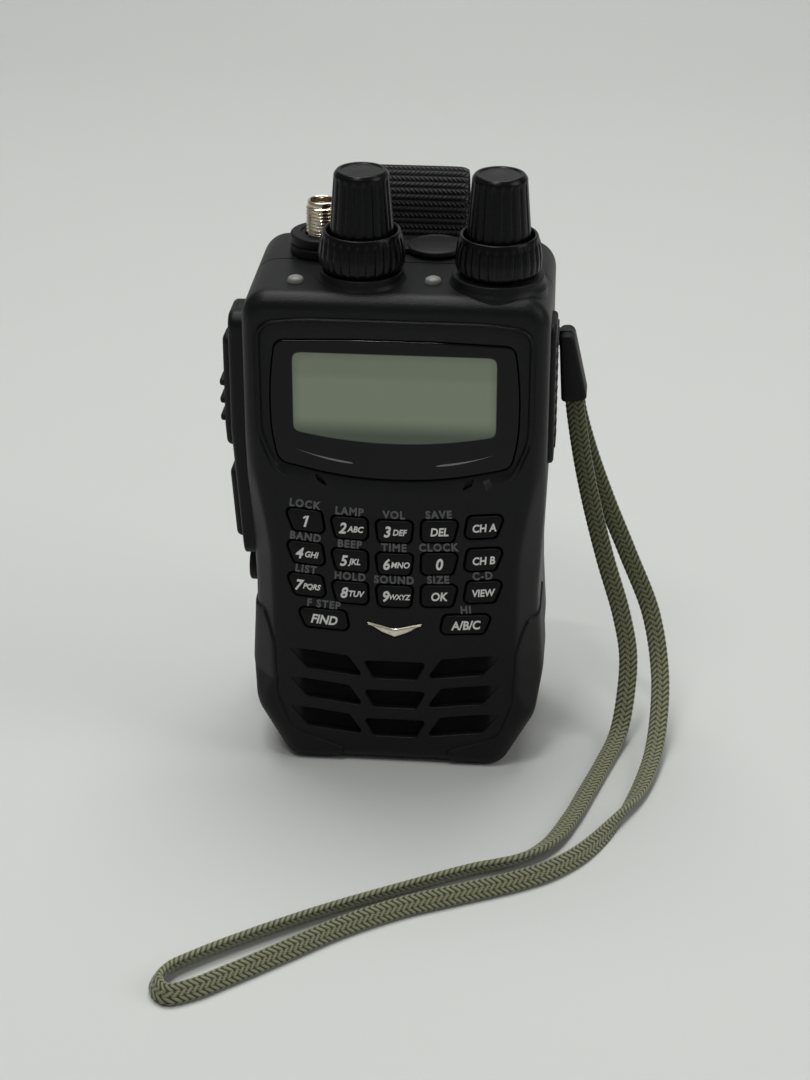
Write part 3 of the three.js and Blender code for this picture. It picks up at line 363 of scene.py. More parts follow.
class Sheet:
    """Gathers points, in millimetres, and faces for one piece."""

    def __init__(self):
        self.points = []
        self.faces = []
        self.count = 0

    def take(self, points, faces):
        self.points.append(np.asarray(points, float).reshape(-1, 3))
        self.faces.extend((np.asarray(faces) + self.count).tolist())
        self.count += len(self.points[-1])

    def grid(self, points, round_u=False, round_v=False):
        """Joins the neighbours of an (n, m, 3) grid, round its rows or columns where they close."""
        n, m = points.shape[:2]
        i = np.arange(n if round_u else n - 1)[:, None]
        j = np.arange(m if round_v else m - 1)[None]
        a = i * m + j
        b = ((i + 1) % n) * m + j
        c = ((i + 1) % n) * m + (j + 1) % m
        d = i * m + (j + 1) % m
        faces = np.stack([a, b, c, d], -1).reshape(-1, 4)
        self.take(points, faces)

    def field(self, outer, holes, lift):
        """Fills the space between an outer loop and its holes; lift turns (n, 2) points into (n, 3)."""
        loops = [outer, *holes]
        flat = np.concatenate(loops)
        edges = []
        start = 0
        for loop in loops:
            ring = np.arange(len(loop)) + start
            edges += np.stack([ring, np.roll(ring, -1)], 1).tolist()
            start += len(loop)
        found = delaunay_2d_cdt([Vector(p) for p in flat], edges, [], 0, 1e-5)
        spots = np.array([tuple(v) for v in found[0]])
        triangles = np.array(found[2])
        middle = spots[triangles].mean(1)
        keep = inside(middle, outer)
        for hole in holes:
            keep &= ~inside(middle, hole)
        self.take(lift(spots), triangles[keep])

    def rings(self, loops):
        """A strip through loops with the same number of points."""
        self.grid(np.stack(loops), round_v=True)

    def object(self, name, marks=None):
        """One Blender object: doubles merged, faces turned outwards; marks are numbers for its first points."""
        mesh = bpy.data.meshes.new(name)
        mesh.from_pydata(np.concatenate(self.points) * MM, [], self.faces)
        for word, values in (marks or {}).items():
            padded = np.zeros(self.count, np.float32)
            padded[: values.size] = values.ravel()
            mesh.attributes.new(word, "FLOAT", "POINT").data.foreach_set("value", padded)
        work = bmesh.new()
        work.from_mesh(mesh)
        bmesh.ops.remove_doubles(work, verts=work.verts, dist=2e-6)
        bmesh.ops.dissolve_degenerate(work, edges=work.edges, dist=2e-6)
        bmesh.ops.recalc_face_normals(work, faces=work.faces)
        work.to_mesh(mesh)
        work.free()
        made = bpy.data.objects.new(name, mesh)
        bpy.context.scene.collection.objects.link(made)
        return made


def finish_piece(made, look, body=RADIO, stands_for=(), crisp=38):
    """Gives a piece its material, its smooth shading, its body and what it stands for."""
    made.data.materials.clear()
    made.data.materials.append(look.material)
    made.data.shade_smooth()
    made.data.set_sharp_from_angle(angle=math.radians(crisp))
    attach(made, body)
    if stands_for:
        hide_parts(*stands_for)
    print(made.name, len(made.data.polygons), "faces")
    return made


def on_front(loop, depth):
    """Points (x, z) of a drawing of the front, depth millimetres behind the face."""
    return np.stack([loop[:, 0], FRONT_Y + np.broadcast_to(depth, len(loop)), loop[:, 1]], 1)


print("mesh builder ready")

# %% [markdown]
# ## The case as one surface
# Seen from the front the case has one closed outline. Its skin is that outline carried through the
# depth: flat on the face, round the front edge, and straight back to the parting line. At the waist
# two flat facets pare the front corners away, which is a clip of every point against a slanted plane.

# %% The outline and its size
WIDTH, HEIGHT, BACK_Y, SEAM_Y = 60.0, 104.0, 19.0, 1.0
SIDE = WIDTH / 2
EDGE, BACK_EDGE = 3.3, 3.0
LOOP_POINTS = 420
case_corners = [
    (SIDE - 8.2, 0, 4.4),
    (SIDE - 1.4, 12.5, 9),
    (SIDE, 20, 12),
    (SIDE - 1, 36, 60),
    (SIDE, 64, 60),
    (SIDE, HEIGHT, 5.5),
]
case_loop = even(rounded(mirrored(case_corners)), LOOP_POINTS)
FACE_EDGE = 24.9
FACET_SIDE = 6.5


def facet_edge(z):
    """Where the face ends and the facet starts: straight at the waist, running outwards above and below."""
    reach = SIDE - FACE_EDGE
    return FACE_EDGE + reach * (np.clip((19 - z) / 11, 0, 3) + np.clip((z - 46) / 28, 0, 3) ** 1.4)


def clip_to_facet(points, round_by=0.7):
    """Moves points in front of the facet plane back on to it, with a rounded crease."""
    x, y, z = np.abs(points[..., 0]), points[..., 1], points[..., 2]
    slant = math.hypot(SIDE - FACE_EDGE, FACET_SIDE)
    out_x, out_y = FACET_SIDE / slant, -(SIDE - FACE_EDGE) / slant
    over = (x - facet_edge(z)) * out_x + (y - FRONT_Y) * out_y
    back = 0.5 * (over + np.sqrt(over * over + round_by * round_by)) * smooth(over, -3 * round_by, -round_by)
    moved = points.copy()
    moved[..., 0] -= np.sign(points[..., 0]) * back * out_x
    moved[..., 1] -= back * out_y
    return moved


print("case outline", np.round(case_loop.min(0), 1), np.round(case_loop.max(0), 1))

# %% [markdown]
# The loop where the flat face ends lies inside both the rounded edge and the facet. From there the
# skin is a grid: a few rows on the face, a quarter circle, and rows to the parting line.

# %% The skin of the front half
def flat_inset():
    """How far inside the outline the flat face ends, for each point of the outline."""
    sideways = smooth(np.abs(outward(case_loop)[:, 0]), 0.75, 0.95)
    facet = np.abs(case_loop[:, 0]) - facet_edge(case_loop[:, 1]) + 1.6
    return np.maximum(EDGE + 0.05, facet * sideways)


def skin_grid(rows=12, arc=10, proud=0.0, end=SEAM_Y):
    """The skin as an (n, m, 3) grid from the flat face to depth end, moved outwards by proud."""
    inset = flat_inset()
    normal = outward(case_loop)
    share = np.linspace(0, 1, 6)[:-1]
    steps = [(inset * (1 - s) + EDGE * s, np.zeros(LOOP_POINTS)) for s in share]
    for angle in np.linspace(0, math.pi / 2, arc):
        steps.append((EDGE * (1 - math.sin(angle)), EDGE * (1 - math.cos(angle))))
    for s in np.linspace(0, 1, rows)[1:]:
        steps.append((0.0, EDGE + (end - FRONT_Y - EDGE) * s))
    grid = []
    for a, b in steps:
        flat = case_loop - normal * np.broadcast_to(a, LOOP_POINTS)[:, None]
        grid.append(on_front(flat, b))
    grid = clip_to_facet(np.stack(grid))
    return grid + grid_normals(grid) * proud if proud else grid


def grid_normals(grid):
    """Unit normals of a grid that is closed in its second direction: the cross product of its two slopes."""
    along = np.gradient(grid, axis=0)
    across = np.roll(grid, -1, 1) - np.roll(grid, 1, 1)
    normal = np.cross(across, along)
    normal /= np.maximum(np.linalg.norm(normal, axis=2), 1e-9)[..., None]
    out = normal[-1][:, [0, 2]]
    return normal * np.sign(np.sum(out * outward(case_loop)))


front_skin = skin_grid()
print("front skin", front_skin.shape)

# %% [markdown]
# ## Openings in the face
# Each key sits in a pocket with a soft lip, the display lies in a shallow bezel, and the speaker has
# nine louvred slots whose outer ends ramp up to the face.

# %% Key outlines
KEY_WIDTH, KEY_HEIGHT = 7.4, 4.8
PITCH_X, PITCH_Z = 8.95, 7.3
FIRST_ROW_Z, COLUMN_LIFT = 54.2, 0.43


def key_outline(width, height, column, x, z):
    """A keystone in the middle column; towards the sides the keys lean inwards as they go down."""
    lean, out = abs(column), (1 if column >= 0 else -1)
    corners = [
        (out * (width / 2 + 0.15 * lean), height / 2 + 0.22 * lean, 0.95),
        (-out * (width / 2 - 0.3 * lean), height / 2 - 0.1 * lean, 0.95),
        (-out * (width / 2 - 0.55 + 0.35 * lean), -height / 2 - 0.15 * lean, 1.1),
        (out * (width / 2 - 0.55 - 0.4 * lean), -height / 2 + 0.15 * lean, 1.1),
    ]
    return even(rounded(corners, 0.2), 64) + [x, z]


key_rows = [
    ["key_1", "key_2", "key_3", "key_clear", "key_main_band"],
    ["key_4", "key_5", "key_6", "key_0", "key_sub_band"],
    ["key_7", "key_8", "key_9", "key_enter", "key_spectrum"],
]
key_spots = {}
for row, names in enumerate(key_rows):
    for column, name in enumerate(names, -2):
        spot = (column * PITCH_X, FIRST_ROW_Z - row * PITCH_Z + COLUMN_LIFT * column * column)
        key_spots[name] = (spot, key_outline(KEY_WIDTH, KEY_HEIGHT, column, *spot))
for name, side in (("key_scan", -1), ("key_mode", 1)):
    spot = (side * 14.5, FIRST_ROW_Z - 2 * PITCH_Z - 5.9)
    key_spots[name] = (spot, key_outline(10, 4.2, 2 * side, *spot))
print(len(key_spots), "keys")

# %% Bezel, lens, trim and slot outlines
lens_corners = [
    (4, 65.4, 60), (12, 66.2, 60), (23, 68.8, 3), (24.3, 75, 60), (24.5, 82.7, 60), (24.1, 89, 60),
    (23.3, 94.5, 2), (8, 95, 60),
]
lens_loop = even(rounded(mirrored(lens_corners), 0.05), 300)
bezel_corners = [(12, 62.2, 1), (16.8, 63.2, 1.5), (23.2, 67.6, 6), (26.1, 75, 14), (26.2, 97.4, 3), (18.2, 98.4, 40)]
bezel_loop = even(rounded(mirrored(bezel_corners), 0.08), 300)
chevron_corners = [
    (-6.3, 33.75, 0.15), (-2.8, 31.35, 3), (0, 30.2, 0.3), (2.8, 31.35, 3), (6.3, 33.75, 0.15), (0, 32.1, 3),
]
chevron_loop = even(rounded(chevron_corners), 96)
slots = []
for row in range(3):
    top = 24.3 - 6.9 * row
    low = top - 4.1
    right = [(6.5, low + 0.3, 0.6), (18.2, low + 1.8, 1.5), (21.8, top + 2.6, 0.2), (9.6, top + 0.9, 0.6)]
    right = even(rounded(right), 90)
    slots.append((even(rounded(mirrored([(4.5, low, 0.6), (6.5, top, 0.6)])), 72), 0))
    slots.append((right, 1))
    slots.append((even(right * [-1, 1], 90), -1))
notches = []
for side in (-1, 1):
    corners = [(side * x, z, 0.2) for x, z in ((13.3, 63.5), (15.4, 64.9), (15.9, 66.5), (14.4, 66.1))]
    notches.append(even(rounded(corners), 40))
print("bezel, lens, trim,", len(slots), "slots")

# %% [markdown]
# A lip is a strip through several copies of an outline, each a little further in and deeper. A pit
# ends in a floor of its own, so that the case stays one closed body.

# %% The front case
WALL = 1.6
MARGIN = 0.06


def lip(sheet, loop, steps, depth=1.0):
    """A strip down into an opening; steps are (how far outside the loop, share of the depth)."""
    steps = [(steps[0][0] + MARGIN, steps[0][1]), *steps]
    sheet.rings([on_front(spread(loop, out), np.asarray(share) * depth) for out, share in steps])


def quarter(radius, full, count=5):
    """Steps round a lip of this radius, and then straight down to the full depth."""
    angles = np.linspace(0, math.pi / 2, count)
    return [(radius * (1 - math.sin(a)), radius * (1 - math.cos(a))) for a in angles] + [(0, full)]


def bezel_depth(loop):
    """The recess is half a millimetre deep and runs out to nothing below the lens."""
    return 0.5 * smooth(loop[:, 1], 65.5, 70.5)


front = Sheet()
front.grid(front_skin, round_v=True)
inner_skin = front_skin - grid_normals(front_skin) * WALL
front.grid(inner_skin, round_v=True)
front.rings([front_skin[-1], inner_skin[-1]])
face_loop = front_skin[0][:, [0, 2]]
key_pockets = [spread(outline, 0.35) for _, outline in key_spots.values()]
LIP, SLOT_LIP, RIM = 0.32, 0.35, 1.25
front_holes = [spread(pocket, LIP + MARGIN) for pocket in key_pockets]
front_holes += [spread(slot, SLOT_LIP + MARGIN) for slot, _ in slots]
front_holes += [spread(spread(chevron_loop, 0.05), 0.3 + MARGIN), spread(bezel_loop, RIM + MARGIN)]
front.field(face_loop, front_holes, lambda p: on_front(p, 0))
lens_pocket = spread(lens_loop, 0.15)
front.field(face_loop, key_pockets + [lens_pocket], lambda p: on_front(p, WALL))
for pocket in key_pockets:
    lip(front, pocket, quarter(LIP, WALL))
for slot, side in slots:
    run = np.abs(slot[:, 0])
    depth = 1.45 - 1.25 * smooth(run, 15.5, 21.5) if side else np.full(len(slot), 1.45)
    floor = lambda p, s=side: on_front(p, 1.45 - (1.25 * smooth(np.abs(p[:, 0]), 15.5, 21.5) if s else 0))
    share = [(SLOT_LIP * (1 - math.sin(a)), (1 - math.cos(a)) * 0.24) for a in np.linspace(0, math.pi / 2, 5)]
    lip(front, slot, share + [(0, 1.0)], depth)
    front.field(slot, [], floor)
lip(front, spread(chevron_loop, 0.05), [(0.3, 0), (0.1, 0.08), (0, 0.3), (0, 0.7)])
front.field(spread(chevron_loop, 0.05), [], lambda p: on_front(p, 0.7))
rim_steps = [
    (RIM, 0), (1.12, 0.3), (0.98, 0.34), (0.82, -0.1), (0.7, -0.4), (0.55, -0.46), (0.4, -0.4), (0.24, 0.0),
    (0.06, 0.7), (0, 1),
]
lip(front, bezel_loop, rim_steps, bezel_depth(bezel_loop))
bezel_hole = spread(lens_pocket, 0.25)
low_notches = [spread(notch, MARGIN) for notch in notches]
front.field(bezel_loop, [bezel_hole, *low_notches], lambda p: on_front(p, bezel_depth(p)))
for notch in notches:
    lip(front, notch, [(0, 0), (-0.08, 0.12), (-0.1, 1)], 0.9)
    front.field(spread(notch, -0.1), [], lambda p: on_front(p, 0.9))
front.rings([
    on_front(bezel_hole, bezel_depth(bezel_hole)),
    on_front(spread(lens_pocket, 0.07), bezel_depth(bezel_hole) + 0.08),
    on_front(lens_pocket, bezel_depth(bezel_hole) + 0.25),
    on_front(lens_pocket, WALL),
])
front_case = front.object("front_shell")
finish_piece(front_case, case_look, stands_for=["front_case"])

# %% [markdown]
# ## The rear case and the battery
# Both are the same outline carried further back and rounded behind. The two blocks are cut apart and
# hollowed by booleans, because their joint runs straight across the rounded skin, and a small bevel
# then softens the cut edges.

# %% Blocks and cuts
def back_block(name, y0, y1, bevel, inset=0.0):
    """A closed block: the outline moved inwards, from depth y0 to y1, with its back edge a quarter circle."""
    angles = np.linspace(0, math.pi / 2, 8 if bevel else 1)
    steps = [(inset, y0)] + [(inset, y0 + (y1 - bevel - y0) * s) for s in (0.5, 1)]
    steps += [(inset + bevel * (1 - math.cos(a)), y1 - bevel + bevel * math.sin(a)) for a in angles if a > 0]
    block = Sheet()
    loops = [spread(case_loop, -a) for a, _ in steps]
    block.rings([on_front(loop, y - FRONT_Y) for loop, (_, y) in zip(loops, steps)])
    block.field(loops[0], [], lambda p: on_front(p, y0 - FRONT_Y))
    block.field(loops[-1], [], lambda p: on_front(p, y1 - FRONT_Y))
    return block.object(name)


def cutter(low, high):
    """A box between two corners, as a mesh of six faces."""
    made = Sheet()
    xs, ys, zs = zip(low, high)
    corners = np.array([(x, y, z) for x in xs for y in ys for z in zs])
    made.take(corners, [(0, 1, 3, 2), (4, 6, 7, 5), (0, 4, 5, 1), (2, 3, 7, 6), (0, 2, 6, 4), (1, 5, 7, 3)])
    return made.object("cutter")


def settle(made, **settings):
    """Adds one modifier, applies it and keeps the result."""
    modifier = made.modifiers.new("step", settings.pop("kind"))
    for key, value in settings.items():
        setattr(modifier, key, value)
    evaluated = made.evaluated_get(bpy.context.evaluated_depsgraph_get())
    made.data = bpy.data.meshes.new_from_object(evaluated)
    made.modifiers.clear()
    return made


def carve(made, tools, operation="DIFFERENCE"):
    for tool in tools:
        settle(made, kind="BOOLEAN", operation=operation, solver="EXACT", object=tool)
        bpy.data.objects.remove(tool)
    return made


def soften(made, width, angle=40, segments=2):
    return settle(
        made, kind="BEVEL", width=width * MM, segments=segments, limit_method="ANGLE",
        angle_limit=math.radians(angle), use_clamp_overlap=True,
    )


print("blocks ready")

# %% Rear case and battery case
FAR = 90.0
BATTERY_TOP, BATTERY_Y = 77.6, 9.0
latch_low, latch_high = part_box("battery_latch")
latch_pocket = cutter(np.array(latch_low) * 1000 - 0.3, np.array(latch_high) * 1000 + [0.3, 5, 2.8])
rear = back_block("rear_shell", SEAM_Y + 0.3, BACK_Y, BACK_EDGE)
upper_room = carve(
    back_block("room", -5, BACK_Y - WALL, 1.0, WALL), [cutter((-FAR, -FAR, 79.5), (FAR, FAR, 2 * FAR))], "INTERSECT"
)
lower_room = back_block("room", -5, BATTERY_Y - 0.3 - WALL, 0.0, WALL)
bay = cutter((-FAR, BATTERY_Y - 0.3, -FAR), (FAR, FAR, BATTERY_TOP + 0.3))
soften(carve(rear, [bay, upper_room, lower_room, latch_pocket]), 0.35)
finish_piece(rear, case_look, stands_for=["rear_case"], crisp=42)
battery = back_block("battery_shell", BATTERY_Y, BACK_Y, BACK_EDGE)
above = cutter((-FAR, -FAR, BATTERY_TOP), (FAR, FAR, 2 * FAR))
battery_room = carve(
    back_block("room", -5, BACK_Y - WALL, 1.0, WALL), [cutter((-FAR, -FAR, -FAR), (FAR, FAR, 76))], "INTERSECT"
)
soften(carve(battery, [above, battery_room]), 0.35)
finish_piece(battery, case_look, stands_for=["battery_case"], crisp=42)

# %% [markdown]
# ## Rubber corners
# Each lower corner wears a rubber skin, four tenths of a millimetre proud of the case. Its surface is
# the case's own skin: any point of the front drawing is pushed back by the rounding of the edge, which
# depends only on its distance from the outline, and is then clipped by the facet.

# %% Rubber corners
def skin_at(flat):
    """The skin's point under (x, z): with d the distance to the outline, depth is R - sqrt(R^2 - (R - d)^2)."""
    ends = np.roll(case_loop, -1, 0)
    edge = ends - case_loop
    rel = flat[..., None, :] - case_loop
    share = np.clip((rel * edge).sum(-1) / (edge * edge).sum(-1), 0, 1)
    gap = np.linalg.norm(rel - share[..., None] * edge, axis=-1).min(-1)
    fall = EDGE - np.minimum(gap, EDGE)
    depth = EDGE - np.sqrt(np.maximum(EDGE * EDGE - fall * fall, 0))
    return clip_to_facet(np.stack([flat[..., 0], FRONT_Y + depth, flat[..., 1]], -1))


def along(line, count):
    """An open line resampled at equal lengths."""
    run = np.concatenate([[0], np.cumsum(np.linalg.norm(np.diff(line, axis=0), axis=1))])
    want = np.linspace(0, run[-1], count)
    return np.stack([np.interp(want, run, line[:, k]) for k in range(line.shape[1])], 1)


def open_normals(grid):
    normal = np.cross(np.gradient(grid, axis=1), np.gradient(grid, axis=0))
    normal /= np.maximum(np.linalg.norm(normal, axis=2), 1e-9)[..., None]
    outwards = grid - np.array([0, 0, 40.0])
    return normal * np.sign(np.sum(normal * outwards))


def rubber_corner(side):
    inner_corners = [(10.6, 2.0, 0), (10.8, 3.7, 0.8), (21.4, 7.6, 5), (24.2, 16, 8), (24.9, 28, 4), (28.6, 33.4, 0)]
    points = rounded([(10.6, -40, 0), *inner_corners, (28.6, 90, 0)], 0.1)
    points = points[1:-1]
    inner = along(points, 110)
    right = case_loop[(case_loop[:, 0] > 0) & (case_loop[:, 1] < 34.6)]
    right = right[np.argsort(np.arctan2(right[:, 1] - 40, right[:, 0]))]
    outer = along(right[right[:, 0] > 13.4], 110)
    rows = 1 - np.sin(np.linspace(0, math.pi / 2, 26))
    flat = outer[None] + (inner - outer)[None] * rows[:, None, None]
    face = skin_at(flat)
    back = []
    for s in np.linspace(0, 1, 14)[1:]:
        depth = EDGE + (SEAM_Y - 0.3 - FRONT_Y - EDGE) * s
        back.append(clip_to_facet(on_front(outer, depth)))
    grid = np.concatenate([face, np.stack(back)])
    normal = open_normals(grid)
    down = np.linalg.norm(np.diff(grid, axis=0, prepend=grid[:1]), axis=2).cumsum(0)
    side_run = np.linalg.norm(np.diff(grid, axis=1, prepend=grid[:, :1]), axis=2).cumsum(1)
    border = np.minimum(down, np.minimum(side_run, side_run[:, -1:] - side_run))
    curl = 1 - np.minimum(border / 0.6, 1)
    rise = -0.2 + 0.62 * np.sqrt(1 - curl * curl)
    top = grid + normal * rise[..., None]
    low = grid - normal * 0.5
    top[..., 2] = np.maximum(top[..., 2], 0)
    low[..., 2] = np.maximum(low[..., 2], 0.05)
    for g in (top, low):
        g[..., 0] *= side
    made = Sheet()
    made.grid(top)
    made.grid(low)
    for a, b in ((top[0], low[0]), (top[-1], low[-1]), (top[:, 0], low[:, 0]), (top[:, -1], low[:, -1])):
        made.grid(np.stack([a, b]))
    return made


for side, word in ((1, "right"), (-1, "left")):
    made = rubber_corner(side).object(f"rubber_corner_{word}")
    finish_piece(made, rubber_look, stands_for=[f"bumper_{word}"])

# %% [markdown]
# ## The display
# A gloss black window, printed black behind except for the liquid crystal area. The print is part of
# the material: a smooth mask, drawn from the piece's own coordinates, goes from black to grey-green,
# and painted shade darkens the grey-green along its lower edge and its border.

# %% Window shape
def pillow(sheet, loop, lift, low, high, top_radius, low_radius=0.0, crown=0.0, steps=6):
    """A closed slab of an outline from height low to high, its edges quarter circles and its top a low dome."""
    ring = []
    angles = np.linspace(0, math.pi / 2, steps)
    if low_radius:
        ring += [(-low_radius * (1 - math.sin(a)), low + low_radius * (1 - math.cos(a))) for a in angles]
    else:
        ring.append((0, low))
    ring += [(-top_radius * (1 - math.cos(a)), high - top_radius * (1 - math.sin(a))) for a in angles]
    ring.append((-top_radius - MARGIN, high))
    loops = [(spread(loop, out), height) for out, height in ring]
    sheet.rings([lift(p, np.full(len(p), h)) for p, h in loops])
    sheet.field(loops[0][0], [], lambda p: lift(p, np.full(len(p), low)))
    edge = loops[-1][0]
    if not crown:
        sheet.field(edge, [], lambda p: lift(p, np.full(len(p), high)))
        return
    middle = edge.mean(0)
    shares = np.linspace(1, 0, 9)
    sheet.rings([lift(middle + (edge - middle) * k, np.full(len(edge), high + crown * (1 - k * k))) for k in shares])


front_lift = lambda p, h: on_front(p, -h)
window = Sheet()
LENS_DEPTH = 0.34
pillow(window, lens_loop, front_lift, -1.55, -LENS_DEPTH, 0.32, crown=0.03, steps=8)
lens = window.object("display_window")

# %% Window print and painted shade
lens_look = Look("lens", Coat_Weight=0.5, Coat_Roughness=0.02, Specular_IOR_Level=0.0)
x, y, z = lens_look.axes()
side_gap = x.math("ABSOLUTE") - 20.0
top_gap = z - 92.2
low_gap = 73.3 + x * x * 0.0056 - z
far = side_gap.math("SMOOTH_MAX", top_gap, 2.6)
far = far.math("SMOOTH_MAX", low_gap, 2.0)
showing = lens_look.ramp(far, -0.22, 0.1, 1.0, 0.0)
# Painted shade: the grey-green is painted darker along the lower edge of the liquid crystal area, and darker again
# along its border.
above_low_shade = lens_look.ramp(z, 74.5, 79.0)
green = lens_look.blend(above_low_shade, (0.12, 0.145, 0.11), (0.30, 0.35, 0.265))
upper = lens_look.ramp(z, 86.2, 88.2)
green = lens_look.blend(upper * 0.55, green, (0.24, 0.28, 0.205))
shadow = lens_look.ramp(far, -1.8, -0.2)
green = lens_look.blend(shadow * 0.3, green, (0.15, 0.17, 0.13))
smoke = lens_look.blend(lens_look.noise(20), (0.003, 0.0032, 0.0036), (0.0045, 0.0048, 0.0052))
lens_look.feed("Base Color", lens_look.blend(showing, smoke, green))
lens_look.feed("Roughness", lens_look.ramp(lens_look.noise(9, 3), 0.3, 0.7, 0.2, 0.3))
finish_piece(lens, lens_look, stands_for=["display_lens"])

# %% [markdown]
# Two tapered strokes are printed in silver under the display. Each is a thin lens-shaped sliver: its
# width swells towards the inner end, along a line that sags a little.

# %% Printed strokes
strokes = Sheet()
for side in (-1, 1):
    t = np.linspace(0, 1, 40)
    x_line = side * (19.6 - 11.4 * t)
    z_line = 71.6 - 2.75 * t - 0.35 * np.sin(math.pi * t)
    half = 0.27 * (0.25 + 0.75 * t) * np.sqrt(np.sin(math.pi * t**1.6) + 0.02)
    rows = [np.stack([x_line, z_line + half * s], 1) for s in (-1, 1)]
    for depth in (LENS_DEPTH - 0.02, LENS_DEPTH + 0.05):
        strokes.grid(np.stack([on_front(row, depth) for row in rows]))
    for row in rows:
        strokes.grid(np.stack([on_front(row, LENS_DEPTH - 0.02), on_front(row, LENS_DEPTH + 0.05)]))
finish_piece(strokes.object("window_strokes"), silver_ink)

# %% [markdown]
# ## The keys
# Each silicone key is its pocket's outline, three tenths smaller, with a rolled edge and a low crown.

# %% Keys
KEY_PROUD, KEY_CROWN = 0.22, 0.14
for name, (spot, outline) in key_spots.items():
    key = Sheet()
    pillow(key, outline, front_lift, -2.35, KEY_PROUD, 0.42, crown=KEY_CROWN, steps=6)
    finish_piece(key.object(f"{name}_cap"), key_look, body=name, stands_for=[name], crisp=60)

# %% [markdown]
# ## Lettering
# The keys carry plain digits and short function words in white, and the case carries grey second
# functions above them. A text object is turned into a mesh at size one and then placed by numpy, with
# its letters slanted and thickened by the text's own shear and offset.

# %% Lettering
def letters(words, size, x, z, slant=0.0, bold=0.02, spacing=1.0, turn=0.0, squeeze=1.0):
    """Points (x, height above surface, z) and faces of one word centred on x, standing on its mid height."""
    curve = bpy.data.curves.new("word", "FONT")
    curve.body = words
    curve.align_x, curve.align_y = "CENTER", "CENTER"
    curve.size, curve.shear, curve.offset = 1.0, slant, bold
    curve.space_character = spacing
    curve.resolution_u = 3
    curve.extrude = 0.012
    holder = bpy.data.objects.new("word", curve)
    bpy.context.scene.collection.objects.link(holder)
    evaluated = holder.evaluated_get(bpy.context.evaluated_depsgraph_get())
    mesh = bpy.data.meshes.new_from_object(evaluated)
    points = np.zeros(len(mesh.vertices) * 3)
    mesh.vertices.foreach_get("co", points)
    points = points.reshape(-1, 3) * [size * squeeze, size, size]
    faces = [list(p.vertices) for p in mesh.polygons]
    bpy.data.objects.remove(holder)
    cos, sin = math.cos(turn), math.sin(turn)
    across = points[:, 0] * cos - points[:, 1] * sin + x
    up = points[:, 0] * sin + points[:, 1] * cos + z
    return np.stack([across, points[:, 2], up], 1), faces


def print_words(name, items, look, body, surface):
    """Several words as one piece; surface gives how proud the printed face is at (x, z)."""
    made = Sheet()
    for item in items:
        points, faces = letters(**item)
        points[:, 1] = FRONT_Y - surface(points[:, 0], points[:, 2]) - 0.02 - points[:, 1]
        start = made.count
        made.points.append(points)
        made.faces.extend([[i + start for i in face] for face in faces])
        made.count += len(points)
    return finish_piece(made.object(name), look, body=body)


legends = {
    "key_1": [("1", 0, 3.4)],
    "key_2": [("2", -1.5, 3.3), ("ABC", 1.1, 1.85)],
    "key_3": [("3", -1.5, 3.3), ("DEF", 1.0, 1.85)],
    "key_4": [("4", -1.4, 3.3), ("GHI", 1.05, 1.85)],
    "key_5": [("5", -1.4, 3.3), ("JKL", 0.9, 1.85)],
    "key_6": [("6", -1.7, 3.3), ("MNO", 1.15, 1.85)],
    "key_7": [("7", -1.75, 3.3), ("PQRS", 1.0, 1.7)],
    "key_8": [("8", -1.4, 3.3), ("TUV", 1.05, 1.85)],
    "key_9": [("9", -1.9, 3.3), ("WXYZ", 0.95, 1.65)],
    "key_0": [("0", 0, 3.4)],
    "key_clear": [("DEL", 0, 2.45)],
    "key_main_band": [("CH A", 0, 2.35)],
    "key_sub_band": [("CH B", 0, 2.35)],
    "key_enter": [("OK", 0, 2.6)],
    "key_spectrum": [("VIEW", 0, 2.2)],
    "key_scan": [("FIND", 0, 2.8)],
    "key_mode": [("A/B/C", 0, 2.7)],
}
for name, words in legends.items():
    (x, z), outline = key_spots[name]
    half = np.abs(outline - outline.mean(0)).max(0)
    tilt = -0.055 * x / 9
    crown = lambda px, pz, x=x, z=z, half=half: (
        KEY_PROUD + KEY_CROWN * (1 - np.clip(np.maximum(np.abs(px - x) / half[0], np.abs(pz - z) / half[1]), 0, 1) ** 2)
    )
    items = [
        {"words": w, "size": size, "x": x + dx, "z": z - 0.05 + dx * math.tan(-tilt), "slant": 0.2, "bold": 0.03,
         "turn": -tilt, "squeeze": 0.86}
        for w, dx, size in words
    ]
    if name == "key_1":
        items.append({"words": "-", "size": 2.6, "x": x - 0.22, "z": z + 1.12, "bold": 0.02, "turn": 0.7})
    print_words(f"{name}_legend", items, white_ink, name, crown)

second = [
    ["LOCK", "LAMP", "VOL", "SAVE", None],
    ["BAND", "BEEP", "TIME", "CLOCK", None],
    ["LIST", "HOLD", "SOUND", "SIZE", "C-D"],
]
labels = []
for row, words in enumerate(second):
    for name, word in zip(key_rows[row], words):
        if word:
            (x, z), outline = key_spots[name]
            labels.append({"words": word, "size": 2.35, "x": x - 0.1, "z": z + 3.68, "spacing": 1.2,
                           "bold": 0.042, "turn": 0.055 * x / 9, "squeeze": 0.88})
for name, word in (("key_scan", "F STEP"), ("key_mode", "HI")):
    (x, z), outline = key_spots[name]
    labels.append({"words": word, "size": 2.35, "x": x, "z": z + 3.4, "spacing": 1.2, "bold": 0.042,
                   "turn": 0.055 * x / 9, "squeeze": 0.88})
print_words("second_functions", labels, grey_ink, RADIO, lambda px, pz: 0 * px)

# %% [markdown]
# ## The trim
# The chevron is a plated bar with a ridge along its middle: rings of the outline shrink towards its
# spine and rise as they go.

